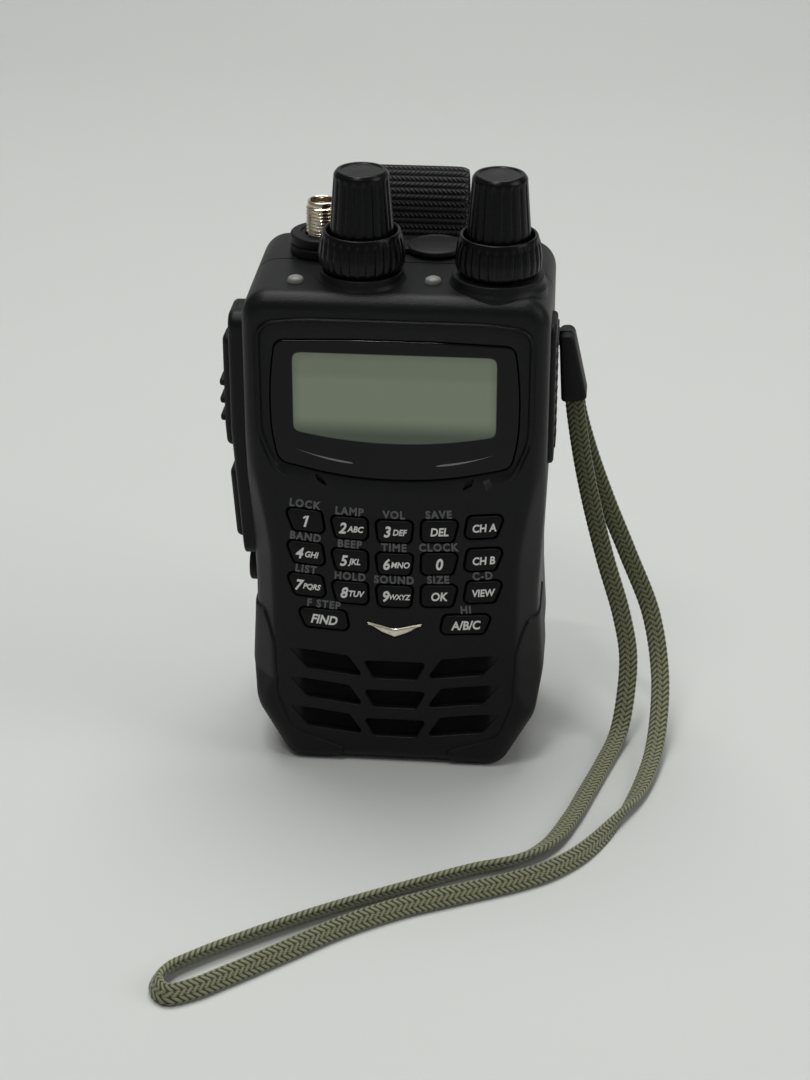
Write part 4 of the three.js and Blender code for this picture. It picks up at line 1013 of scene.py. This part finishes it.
# %% Chevron
trim = Sheet()
shrink = [(0, -0.65), (0, -0.05), (-0.06, 0.12), (-0.2, 0.24), (-0.42, 0.36)]
loops = [spread(chevron_loop, out) for out, _ in shrink]
trim.rings([front_lift(loop, np.full(len(loop), h)) for loop, (_, h) in zip(loops, shrink)])
trim.field(loops[0], [], lambda p: front_lift(p, np.full(len(p), -0.65)))
trim.field(loops[-1], [], lambda p: front_lift(p, np.full(len(p), 0.36)))
finish_piece(trim.object("chevron_bar"), champagne_look, stands_for=["chevron_trim"], crisp=30)

# %% [markdown]
# ## Knobs
# A knob is turned from a profile, and its grip is cut by narrow flutes: the radius is the profile's,
# less a groove that repeats round the knob and fades out at both ends of the grip.

# %% Turned pieces
def smooth_profile(corners, step=0.25):
    """A profile of (radius, height, rounding) corners, rounded as an outline is, from axis to axis."""
    far_left = [(-60, corners[0][1]), (-60, corners[-1][1])]
    turned = rounded([*corners, *far_left[::-1]], step)
    return turned[turned[:, 0] > -1]


def lathe(sheet, profile, x, y, segments=96, flutes=0, groove=0.0, grip=(0, 0), fade=0.8, sharp=3.0):
    """Points at radius r(z) - groove * f(angle) * g(z), with f a row of narrow notches."""
    angle = np.linspace(0, 2 * math.pi, segments, endpoint=False)[None]
    radius, height = profile[:, :1], profile[:, 1:2]
    notch = (0.5 + 0.5 * np.cos(flutes * angle)) ** sharp if flutes else 0 * angle
    on_grip = smooth(height, grip[0], grip[0] + fade) * (1 - smooth(height, grip[1] - fade, grip[1]))
    on_grip = on_grip * smooth(radius, 2.0, 4.0)
    reach = radius - groove * notch * on_grip
    points = np.stack([x + reach * np.cos(angle), y + reach * np.sin(angle), height + 0 * angle], -1)
    sheet.grid(points, round_v=True)


def filled(corners, step=0.3):
    """A profile with extra points along its long sides, so that flutes can fade in."""
    profile = smooth_profile(corners, step)
    pieces = [profile[:1]]
    for a, b in zip(profile[:-1], profile[1:]):
        count = max(1, int(np.linalg.norm(b - a) / 0.45))
        pieces.append(a + (b - a) * np.linspace(0, 1, count + 1)[1:, None])
    return np.concatenate(pieces)


KNOBS = {"a": (-7.2, -8.2), "b": (19.4, -8.5)}
RING_Z, DIAL_Z = 106.5, 112.0
ring_corners = [
    (1.8, 100.6, 0), (2.6, 100.6, 0), (2.6, RING_Z, 0), (7.75, RING_Z, 0.35), (8.35, RING_Z + 0.9, 0.9),
    (8.5, RING_Z + 3.0, 3), (8.15, RING_Z + 5.6, 2), (7.55, RING_Z + 7.5, 0.7), (6.95, RING_Z + 7.5, 0.35),
    (6.8, RING_Z + 5.3, 0), (1.8, RING_Z + 5.2, 0), (1.8, 100.7, 0),
]
dial_corners = [
    (0, 98.6, 0), (1.5, 98.6, 0), (1.5, DIAL_Z, 0), (6.15, DIAL_Z, 0.3), (6.3, DIAL_Z + 0.9, 0.6),
    (5.35, DIAL_Z + 13.2, 0.8), (4.75, DIAL_Z + 14.0, 0.5), (4.1, DIAL_Z + 14.0, 0.15),
    (3.95, DIAL_Z + 13.8, 0.1), (0, DIAL_Z + 13.85, 0),
]
for letter, (x, y) in KNOBS.items():
    ring = Sheet()
    lathe(ring, filled(ring_corners), x, y, 336, 28, 0.36, (RING_Z + 0.2, RING_Z + 6.7), 0.9, 3.0)
    made = ring.object(f"ring_{letter}")
    finish_piece(made, knob_look, f"ring_knob_{letter}", [f"ring_knob_{letter}"], 50)
    dial = Sheet()
    lathe(dial, filled(dial_corners), x, y, 324, 18, 0.28, (DIAL_Z + 0.2, DIAL_Z + 13.2), 1.2, 4.5)
    made = dial.object(f"dial_{letter}")
    finish_piece(made, knob_look, f"dial_knob_{letter}", [f"dial_knob_{letter}"], 50)

# %% Collars under the knobs
collars = Sheet()
for (x, y), radius in zip(KNOBS.values(), (8.1, 9.0)):
    collar_corners = [
        (2.9, 102, 0), (radius + 0.7, 102, 0), (radius + 0.6, 103.9, 0.3), (radius + 0.1, 104.7, 1.2),
        (radius, 106.05, 0.3), (2.9, 106.05, 0), (2.9, 102.1, 0),
    ]
    lathe(collars, filled(collar_corners), x, y)
finish_piece(collars.object("knob_collars"), case_look, crisp=60)

# %% [markdown]
# ## Fittings on the top
# The antenna connector has a real thread: its radius follows a triangle wave of the height, shifted by
# the angle, so that the ridge climbs one pitch for each turn.

# %% Antenna connector and its seat
AX, AY, THREAD_R, PITCH = -16.7, 6.4, 3.175, 0.7056
angle = np.linspace(0, 2 * math.pi, 96, endpoint=False)[None]
height = np.linspace(107.6, 114.1, 150)[:, None]
phase = (height / PITCH - angle / (2 * math.pi)) % 1
ridge = np.abs(2 * phase - 1)
fade = smooth(height, 107.6, 108.2) * (1 - smooth(height, 113.5, 114.05))
reach = THREAD_R - 0.5 * (1 - ridge) * fade - 0.3 * (1 - fade)
threaded = np.stack([AX + reach * np.cos(angle), AY + reach * np.sin(angle), height + 0 * angle], -1)


def ring_at(radius, z):
    return np.stack([AX + radius * np.cos(angle[0]), AY + radius * np.sin(angle[0]), np.full(96, z)], -1)


rest = [(2.82, 114.45), (2.72, 114.7), (2.45, 114.8), (2.3, 114.7), (2.25, 110.8), (0.9, 110.8), (0.85, 110.9)]
rest += [(0.8, 113.9), (0.62, 114.15), (0.4, 114.15), (0.35, 112), (0, 112)]
stem = [ring_at(r, z) for r, z in ((0, 98), (3.0, 98), (3.0, 107.5))]
connector = Sheet()
connector.rings(stem + list(threaded) + [ring_at(r, z) for r, z in rest])
finish_piece(
    connector.object("threaded_connector"), brass_look, stands_for=["antenna_connector"], crisp=30
)
seat = Sheet()
seat_corners = [
    (3.45, 104.2, 0), (6.45, 104.2, 0.2), (6.45, 105.9, 0.25), (6.05, 106.0, 0.1), (6.05, 106.25, 0.1),
    (6.4, 106.35, 0.25), (6.4, 108.2, 0.5), (4.4, 108.25, 0.2), (4.2, 107.95, 0.2), (3.45, 107.95, 0), (3.45, 104.3, 0),
]
lathe(seat, filled(seat_corners), AX, AY)
finish_piece(seat.object("antenna_ring"), rubber_look, stands_for=["antenna_seat"])

# %% Status lights and the jack's cover
for word, (x, y) in {"left": (-19.9, -11.2), "right": (6.8, -9.5)}.items():
    dome = Sheet()
    dome_corners = [(0, 102, 0), (1.65, 102, 0), (1.65, 104.1, 0.2), (1.5, 104.75, 0.6), (0.7, 105.15, 1.0), (0, 105.2, 0)]
    lathe(dome, filled(dome_corners), x, y, 48)
    finish_piece(
        dome.object(f"light_dome_{word}"), light_look, stands_for=[f"status_light_{word}"]
    )
JX, JY = 6.0, 8.3
flat_lift = lambda p, h: np.stack([p[:, 0], p[:, 1], h], 1)
cover = Sheet()
tab = rounded([(JX, JY - 2.7, 0), (JX, JY + 2.7, 0), (JX - 9.3, JY + 2.4, 1.2), (JX - 9.3, JY - 2.4, 1.2)])
pillow(cover, even(tab, 80), flat_lift, 104.3, 105.25, 0.3)
lid_corners = [
    (0, 103.1, 0), (1.55, 103.1, 0.1), (1.6, 104.3, 0), (5.6, 104.3, 0.2), (5.85, 104.7, 0.3), (5.7, 105.5, 0.35),
    (4.6, 105.8, 0.2), (4.4, 105.6, 0.15), (3.2, 105.8, 1), (0, 106.0, 0),
]
lathe(cover, filled(lid_corners), JX, JY)
finish_piece(cover.object("jack_lid"), rubber_look, "jack_cover", ["jack_cover"])

# %% [markdown]
# ## The sides
# The left side carries a raised frame with two long rubber keys, the upper one ribbed, and a round
# rubber cover low down. The right side has a grip pad.

# %% Side pieces


def left_lift(p, h):
    return np.stack([-(SIDE + h), p[:, 0], p[:, 1]], 1)


def leaning_lift(p, h):
    """Heights above the left side; the outer faces sink by up to 2.2 mm from Z = 72 down to Z = 40."""
    drop = 2.2 * np.clip((72 - p[:, 1]) / 32, 0, 1)
    return left_lift(p, h - drop * np.clip((h - 0.95) / 2.6, 0, 1))


right_lift = lambda p, h: np.stack([SIDE + h, p[:, 0], p[:, 1]], 1)


def slab(y, half, low, high, radius, count=160):
    corners = [(y - half, low, radius), (y + half, low, radius), (y + half, high, radius), (y - half, high, radius)]
    return even(rounded(corners), count)


KEY_Y = -6.6
SPANS = {"upper": (67.5, 91.5, (73.5, 77.3, 81.1)), "lower": (47.0, 62.5, ())}
key_frame = Sheet()
outer = slab(KEY_Y, 5.6, 43.8, 97, 3, 240)
angles = np.linspace(0, math.pi / 2, 7)
steps = [(0, -0.7), (0, 0.9)] + [(-1.2 * (1 - math.cos(a)), 3.6 - 1.2 * (1 - math.sin(a))) for a in angles]
key_frame.rings([leaning_lift(spread(outer, o), np.full(len(outer), h)) for o, h in steps])
windows = [slab(KEY_Y, 3.65, low - 0.35, high + 0.35, 1.6) for low, high, _ in SPANS.values()]
top_loop = spread(outer, -1.2)
wide = [spread(window, 0.5) for window in windows]
key_frame.field(top_loop, wide, lambda p: leaning_lift(p, np.full(len(p), 3.6)))
key_frame.field(outer, windows, lambda p: left_lift(p, np.full(len(p), -0.7)))
for window in windows:
    steps = [(0.5 * (1 - math.sin(a)), 3.6 - 0.5 * (1 - math.cos(a))) for a in angles] + [(0, 0.9), (0, -0.7)]
    key_frame.rings([leaning_lift(spread(window, o), np.full(len(window), h)) for o, h in steps])
finish_piece(key_frame.object("side_bezel"), case_look, stands_for=["side_key_frame"])
for word, (low, high, ribs) in SPANS.items():
    side_key = Sheet()
    pillow(side_key, slab(KEY_Y, 3.3, low, high, 1.5), leaning_lift, 0.95, 5.1, 1.1, crown=0.2)
    for z in ribs:
        pillow(side_key, slab(KEY_Y, 2.6, z - 0.8, z + 0.8, 0.75, 60), leaning_lift, 4.6, 6.0, 0.55)
    made = side_key.object(f"side_button_{word}")
    finish_piece(made, rubber_look, f"side_key_{word}", [f"side_key_{word}"], 60)
grip = Sheet()
pillow(grip, slab(-5.5, 5.5, 66, 96, 2.5), right_lift, -0.6, 1.1, 0.8, crown=0.2)
for z in np.arange(70, 93, 2.4):
    pillow(grip, slab(-5.5, 4.2, z - 0.5, z + 0.5, 0.48, 48), right_lift, 0.8, 1.42, 0.3)
finish_piece(grip.object("grip_pad"), rubber_look, stands_for=["side_grip"])
plug = Sheet()
turn = np.linspace(0, 2 * math.pi, 72, endpoint=False)
disc = np.stack([-4.2 + 3.6 * np.cos(turn), 38.6 + 3.6 * np.sin(turn)], 1)
pillow(plug, disc, left_lift, -0.5, 1.4, 0.6, crown=0.1)
pillow(plug, slab(-2.3, 1.6, 37.1, 40.1, 0.5, 60), left_lift, -0.45, 0.9, 0.3)
finish_piece(plug.object("power_lid"), rubber_look, "power_cover", ["power_cover"])

# %% [markdown]
# ## The hand strap
# The strap is a ribbon of webbing carried along its route. Ribs run across the band as real relief, and
# two measures are stored on its points, across the band and along it, for the stitches.

# %% Hand strap
def through(points, per_span=24):
    """A centripetal Catmull-Rom curve through points, the same curve as the plain solid follows."""
    p = np.asarray(points, float)
    p = np.vstack([2 * p[0] - p[1], p, 2 * p[-1] - p[-2]])
    out = []
    for a, b, c, d in zip(p[:-3], p[1:-2], p[2:-1], p[3:]):
        t1 = np.linalg.norm(b - a) ** 0.5
        t2 = t1 + np.linalg.norm(c - b) ** 0.5
        t3 = t2 + np.linalg.norm(d - c) ** 0.5
        t = np.linspace(t1, t2, per_span, endpoint=False)[:, None]
        ab = (t1 - t) / t1 * a + t / t1 * b
        bc = (t2 - t) / (t2 - t1) * b + (t - t1) / (t2 - t1) * c
        cd = (t3 - t) / (t3 - t2) * c + (t - t2) / (t3 - t2) * d
        abc = (t2 - t) / t2 * ab + t / t2 * bc
        bcd = (t3 - t) / (t3 - t1) * bc + (t - t1) / (t3 - t1) * cd
        out.append((t2 - t) / (t2 - t1) * abc + (t - t1) / (t2 - t1) * bcd)
    return np.vstack([*out, p[-2:-1]])


strap_route = [
    (21.3, 90.6), (21.4, 98), (21.8, 105.5), (22.9, 111.4), (26.2, 114.8), (30.6, 112.8), (34, 105.4), (36.5, 91),
    (37.6, 70), (37.4, 46), (35.4, 27), (30.5, 18.4), (24.6, 16), (21.6, 12.2), (21.3, 5.6),
]
line = along(through(strap_route), 760)
tangent = np.gradient(line, axis=0)
tangent /= np.linalg.norm(tangent, axis=1)[:, None]
normal = np.stack([tangent[:, 1], -tangent[:, 0]], 1)
run = np.concatenate([[0], np.cumsum(np.linalg.norm(np.diff(line, axis=0), axis=1))])[:, None]
turn = np.linspace(0, 2 * math.pi, 96, endpoint=False)[None]
b = 11.35 * np.sign(np.cos(turn)) * np.abs(np.cos(turn)) ** 0.28 + 0 * run
a = 0.6 * np.sign(np.sin(turn)) * np.abs(np.sin(turn)) ** 0.6
ROW_PITCH, STITCH_PITCH = 1.2, 0.95
a = a + np.sign(a) * smooth(np.abs(a), 0.35, 0.55) * (0.24 * np.abs(np.sin(math.pi * run / ROW_PITCH)) - 0.06)
strap_points = np.stack([b, line[:, :1] + normal[:, :1] * a, line[:, 1:] + normal[:, 1:] * a], -1)
strap = Sheet()
strap.grid(strap_points, round_v=True)
for end in (0, -1):
    strap.take(strap_points[end], [list(range(96))])
strap_piece = strap.object("webbing_strap", {"across": b, "along": run + 0 * b})

# %% [markdown]
# The stitches are drawn from those two measures. In row n the stitches lean one way, in row n + 1 the
# other: their phase is across / pitch, plus or minus the place within the row.

# %% Webbing
web_look = Look("black_webbing", Specular_IOR_Level=0.45, Sheen_Weight=0.15, Sheen_Roughness=0.4)
across_mm = web_look.add("ShaderNodeAttribute", {"attribute_name": "across"}, out=2)
rows = web_look.add("ShaderNodeAttribute", {"attribute_name": "along"}, out=2) * (1 / ROW_PITCH)
place_in_row = rows.math("FRACT")
lean = (rows * 0.5).math("FRACT").math("GREATER_THAN", 0.5) * 2 - 1
wave = (across_mm * (1 / STITCH_PITCH) + (place_in_row - 0.5) * lean) * (2 * math.pi)
stitch = wave.math("COSINE") * 0.5 + 0.5
thread = (place_in_row * math.pi).math("SINE") * (stitch * 0.8 + 0.2)
fuzz = web_look.noise(0.2, 2.0)
# Painted shadow: the thread is painted near-black below Z = 108.5 and pales up to Z = 112.5, where the strap bends down
# behind the case. The gaps between stitches are painted nearly black as shade.
wear_tint_and_shadow = web_look.ramp(web_look.axes()[2], 108.5, 112.5)
pale = web_look.blend(wear_tint_and_shadow, (0.002, 0.002, 0.002), (0.024, 0.024, 0.024))
web_look.feed("Base Color", web_look.blend(web_look.ramp(thread, 0.1, 0.8), (0.0012, 0.0012, 0.0012), pale))
web_look.feed("Roughness", web_look.ramp(thread + fuzz * 0.3, 0.2, 1.0, 0.75, 0.38))
web_look.relief(thread + fuzz * 0.15, 0.4)
finish_piece(strap_piece, web_look, stands_for=["hand_strap"], crisp=80)

# %% [markdown]
# ## The lanyard
# The lanyard is a flat tube of olive braid, just under four millimetres wide, which leaves the cap, lands
# flat, turns on to its edge for one long loop on the floor, and comes back. The route's points are those of the plain solid.
# The band's width turns from sideways, where it hangs, to upright, where it stands on the floor.

# %% Lanyard route
cord_route = [
    (34.74, 9.5, 72.1), (35.3, 9.4, 68), (36.9, 9, 58.7), (39.1, 8, 49), (42.4, 6, 37.3), (46.2, 3, 26),
    (48, 0.6, 17.5), (47.8, -2.6, 9.5), (46.6, -7, 4.2), (43.9, -16.2, 2.7), (40.4, -28.4, 2.6),
    (37.3, -39, 2.6), (33.1, -49, 2.6), (27, -55.6, 2.6), (18, -60.2, 2.6), (5.4, -67.6, 2.6),
    (-9, -76.4, 2.6), (-21.8, -85.5, 2.6), (-30.4, -92.4, 2.6), (-34.8, -96.8, 2.6), (-36, -101, 2.6),
    (-33.6, -104, 2.6), (-29.5, -102.4, 2.6), (-23, -97.2, 2.6), (-14.1, -89.4, 2.6), (-4.6, -81, 2.6),
    (5.9, -73.8, 2.6), (17, -68.2, 2.6), (26.7, -63.4, 2.6), (33.5, -59, 2.6), (39.3, -52.8, 2.6),
    (43.9, -45, 2.6), (47.8, -36, 2.6), (51.8, -24.5, 2.9), (54.4, -11.5, 5), (55, 0, 12.5),
    (52.6, 7, 24.1), (47.2, 10.4, 36.5), (42, 12, 48.5), (38.1, 12.6, 59), (35.5, 12.5, 68),
    (34.74, 12.5, 72.1),
]
BRAID_WIDTH, BRAID_THICK = 3.8, 1.6
rough_line = through(cord_route, 40)
steps = np.linalg.norm(np.diff(rough_line, axis=0), axis=1)
from_end = np.concatenate([[0], np.cumsum(steps)])
from_end = np.minimum(from_end, steps.sum() - from_end)
edgeways = smooth(from_end, 98, 136)
rough_line[:, 2] -= (1.5 - 0.95 * edgeways) * (1 - smooth(rough_line[:, 2], 3, 12))
cord_length = float(np.linalg.norm(np.diff(rough_line, axis=0), axis=1).sum())
line = along(rough_line, int(cord_length / 0.25))
print("lanyard", round(cord_length, 1), "mm long")

# %% [markdown]
# The braid has two families of yarns, which climb round the tube to the left and to the right: with v
# along it and u round it, their crests lie at whole values of v + 8u and v - 8u. In one column of the
# braid the first family is on top and in the next the second, so the yarns draw rows of chevrons.

# %% Lanyard braid
tangent = np.gradient(line, axis=0)
tangent /= np.linalg.norm(tangent, axis=1)[:, None]
upright = np.interp(np.linspace(0, 1, len(line)), np.linspace(0, 1, len(edgeways)), edgeways)[:, None]
leftward = np.cross([0, 0, 1.0], tangent)
wish = (1 - upright) * np.array([1.0, 0, 0.15]) + upright * (np.array([0, 0, 0.85]) + 0.5 * leftward)
wide = wish - (wish * tangent).sum(1)[:, None] * tangent
wide /= np.linalg.norm(wide, axis=1)[:, None]
thin = np.cross(tangent, wide)
AROUND, YARNS, YARN_PITCH, YARN_RISE = 52, 8, 1.2, 0.2
turn = np.linspace(0, 2 * math.pi, AROUND, endpoint=False)[None]
run = np.linspace(0, cord_length, len(line))[:, None]
half_w, half_t = BRAID_WIDTH / 2 - YARN_RISE / 2, BRAID_THICK / 2 - YARN_RISE / 2
b = half_w * np.sign(np.cos(turn)) * np.abs(np.cos(turn)) ** 0.8
a = half_t * np.sign(np.sin(turn)) * np.abs(np.sin(turn)) ** 0.6
section = np.stack([b[0], a[0]], 1)
steps = np.linalg.norm(np.roll(section, -1, 0) - section, axis=1)
around = (np.concatenate([[0], np.cumsum(steps)[:-1]]) / steps.sum())[None]
first = run / YARN_PITCH + YARNS * around
second_yarn = run / YARN_PITCH - YARNS * around
over = smooth(np.cos(math.pi * YARNS * around), -0.7, 0.7)
ridge_a = np.abs(np.cos(math.pi * first)) * (0.1 + 0.9 * over)
ridge_b = np.abs(np.cos(math.pi * second_yarn)) * (1 - 0.9 * over)
relief = YARN_RISE * np.maximum(ridge_a, ridge_b)
out_b, out_a = b / half_w**2, a / half_t**2
size = np.maximum(np.sqrt(out_b**2 + out_a**2), 1e-9)
bb = b + relief * out_b / size
aa = a + relief * out_a / size
cord_points = line[:, None] + wide[:, None] * bb[..., None] + thin[:, None] * aa[..., None]
cord_points[..., 2] = np.maximum(cord_points[..., 2], 0.02)
braid = Sheet()
braid.grid(cord_points, round_v=True)
for end in (0, -1):
    braid.take(cord_points[end], [list(range(AROUND))])
cord = braid.object("braided_lanyard", {"crest": relief / YARN_RISE})
print("braid", len(cord.data.polygons), "faces")

# %% [markdown]
# The braid's colour follows its relief: a yarn's crest is olive, and the gaps between yarns are painted
# nearly black as shade. The hanging legs are painted darker and the loop on the floor lighter, as
# painted shade and light. The relief is stored on the points as an attribute, which the material reads.

# %% Lanyard material
braid_look = Look("olive_braid", Specular_IOR_Level=0.3, Sheen_Weight=0.35, Sheen_Roughness=0.45)
crest = braid_look.add("ShaderNodeAttribute", {"attribute_name": "crest"}, out=2)
fibre = braid_look.noise(0.16, 3.0)
patch = braid_look.noise(26, 2.0)
# Painted light and shade: the olive is painted darker where the lanyard hangs, above Z = 34, and lighter where it lies
# on the floor, below Z = 6.
floor_light_share = braid_look.ramp(braid_look.axes()[2], 34.0, 6.0)
olive = braid_look.blend(floor_light_share, (0.115, 0.122, 0.06), (0.24, 0.25, 0.155))
olive = braid_look.blend(patch * 0.3, olive, (0.2, 0.208, 0.115))
olive = braid_look.blend(fibre * 0.5, olive, (0.34, 0.34, 0.22))
# Painted shade: the gaps between yarns are painted nearly black.
deep = braid_look.blend(braid_look.ramp(crest, 0.15, 0.85), (0.024, 0.027, 0.011), olive)
braid_look.feed("Base Color", deep)
braid_look.feed("Roughness", braid_look.ramp(fibre, 0.3, 0.7, 0.7, 0.9))
braid_look.relief(fibre, 0.05)
finish_piece(cord, braid_look, stands_for=["lanyard_cord"], crisp=180)

# %% [markdown]
# The cap that the lanyard comes out of is a wedge of black rubber, hung on a small plate on the side.

# %% Lanyard cap
cap_top, cap_low = np.array([32.7, 86.8]), np.array([34.7, 72.4])
down = (cap_low - cap_top) / np.linalg.norm(cap_low - cap_top)
across = np.array([-down[1], down[0]])
cap_corners = [
    (*(cap_low - across * 2.7), 0.8), (*(cap_low + across * 2.7), 0.8),
    (*(cap_top + across * 1.5), 2.2), (*(cap_top - across * 1.5), 1.0),
]
cap = Sheet()
pillow(cap, even(rounded(cap_corners), 120), lambda p, h: np.stack([p[:, 0], h, p[:, 1]], 1), 7.5, 14.5, 0.7, 0.7)
cap_piece = finish_piece(cap.object("lanyard_boot"), rubber_look, stands_for=["lanyard_cap"])
path = [tuple(p * MM) for p in along(rough_line, 240)]

# %% [markdown]
# ## What the model keeps
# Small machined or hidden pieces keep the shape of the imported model. Where an edge shows, a copy is
# merged and given a fine bevel; the rest only gets its finish.

# %% Refined copies
def refined(node, look, width, name, body=RADIO):
    """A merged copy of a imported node, its edges rounded by a bevel of this width."""
    made = bpy.data.objects.new(name, nodes[node].data.copy())
    bpy.context.scene.collection.objects.link(made)
    work = bmesh.new()
    work.from_mesh(made.data)
    bmesh.ops.remove_doubles(work, verts=work.verts, dist=1e-6)
    bmesh.ops.dissolve_limit(work, verts=work.verts, edges=work.edges, angle_limit=math.radians(1))
    work.to_mesh(made.data)
    work.free()
    soften(made, width, 30, 3)
    return finish_piece(made, look, body, [node])


refined("strap_anchor_top", case_look, 0.5, "upper_strap_bar")
refined("strap_anchor_low", case_look, 0.5, "lower_strap_bar")
refined("strap_lug", case_look, 0.25, "lanyard_lug")
refined("battery_latch", case_look, 0.35, "latch_slider", "battery_latch")
kept = {
    "encoder_a": steel_look, "encoder_b": steel_look, "ear_jack": steel_look, "power_jack": steel_look,
    "speaker": steel_look, "case_screw_1": steel_look, "case_screw_2": steel_look, "case_screw_3": steel_look,
    "case_screw_4": steel_look, "main_board": board_look, "radio_board": board_look, "keypad_mat": key_look,
    "battery_cell": cell_look, "lcd_panel": ink("lcd", (0.14, 0.165, 0.125), 0.3),
}
for name, look in kept.items():
    nodes[name].data.materials.clear()
    nodes[name].data.materials.append(look.material)
print(len(kept), "nodes keep their shape")

# %% [markdown]
# ## Floor, light and a last look
# The receiver stands on a pale sweep: a floor that bends up into a backdrop.

# %% Stage
bend = np.linspace(0, math.pi / 2, 24)
path = np.concatenate([
    [(-3000.0, 0.0)],
    np.stack([500 + 500 * np.sin(bend), 500 - 500 * np.cos(bend)], 1),
    [(1000.0, 2400.0)],
])
across = np.array([-3500.0, 3500.0])
stage_grid = np.stack([np.stack([np.full(len(path), x), path[:, 0], path[:, 1]], 1) for x in across], 1)
sweep = Sheet()
sweep.grid(stage_grid)
floor = sweep.object("studio_sweep")
floor_look = Look("studio_paper", Roughness=0.6)
floor_look.feed("Base Color", floor_look.blend(floor_look.noise(160), (0.60, 0.61, 0.59), (0.62, 0.63, 0.61)))
floor.data.materials.append(floor_look.material)
floor.data.shade_smooth()
floor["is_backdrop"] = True


def soft_light(name, place, size, power, target=(0, 0, 50)):
    """A square area light at place, in millimetres, turned to face target."""
    data = bpy.data.lights.new(name, "AREA")
    data.shape = "RECTANGLE"
    data.size, data.size_y = size[0] * MM, size[1] * MM
    data.energy = power
    lamp = bpy.data.objects.new(name, data)
    lamp.location = Vector(place) * MM
    lamp.rotation_euler = (Vector(target) * MM - lamp.location).to_track_quat("-Z", "Y").to_euler()
    bpy.context.scene.collection.objects.link(lamp)


soft_light("overhead", (-60, 300, 1050), (800, 560), 7.6)
soft_light("front_box", (-200, -420, 950), (260, 160), 1.7)
soft_light("right_fill", (900, -200, 600), (500, 600), 2.4)
soft_light("strip", (-78, -250, 1080), (130, 8), 1.3)
world = bpy.data.worlds.new("studio")
world.use_nodes = True
world.node_tree.nodes["Background"].inputs["Color"].default_value = (0.95, 0.97, 0.96, 1)
world.node_tree.nodes["Background"].inputs["Strength"].default_value = 0.18
bpy.context.scene.world = world
bpy.context.scene.view_settings.view_transform = "Standard"
bpy.context.scene.view_settings.gamma = 0.94

low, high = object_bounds()
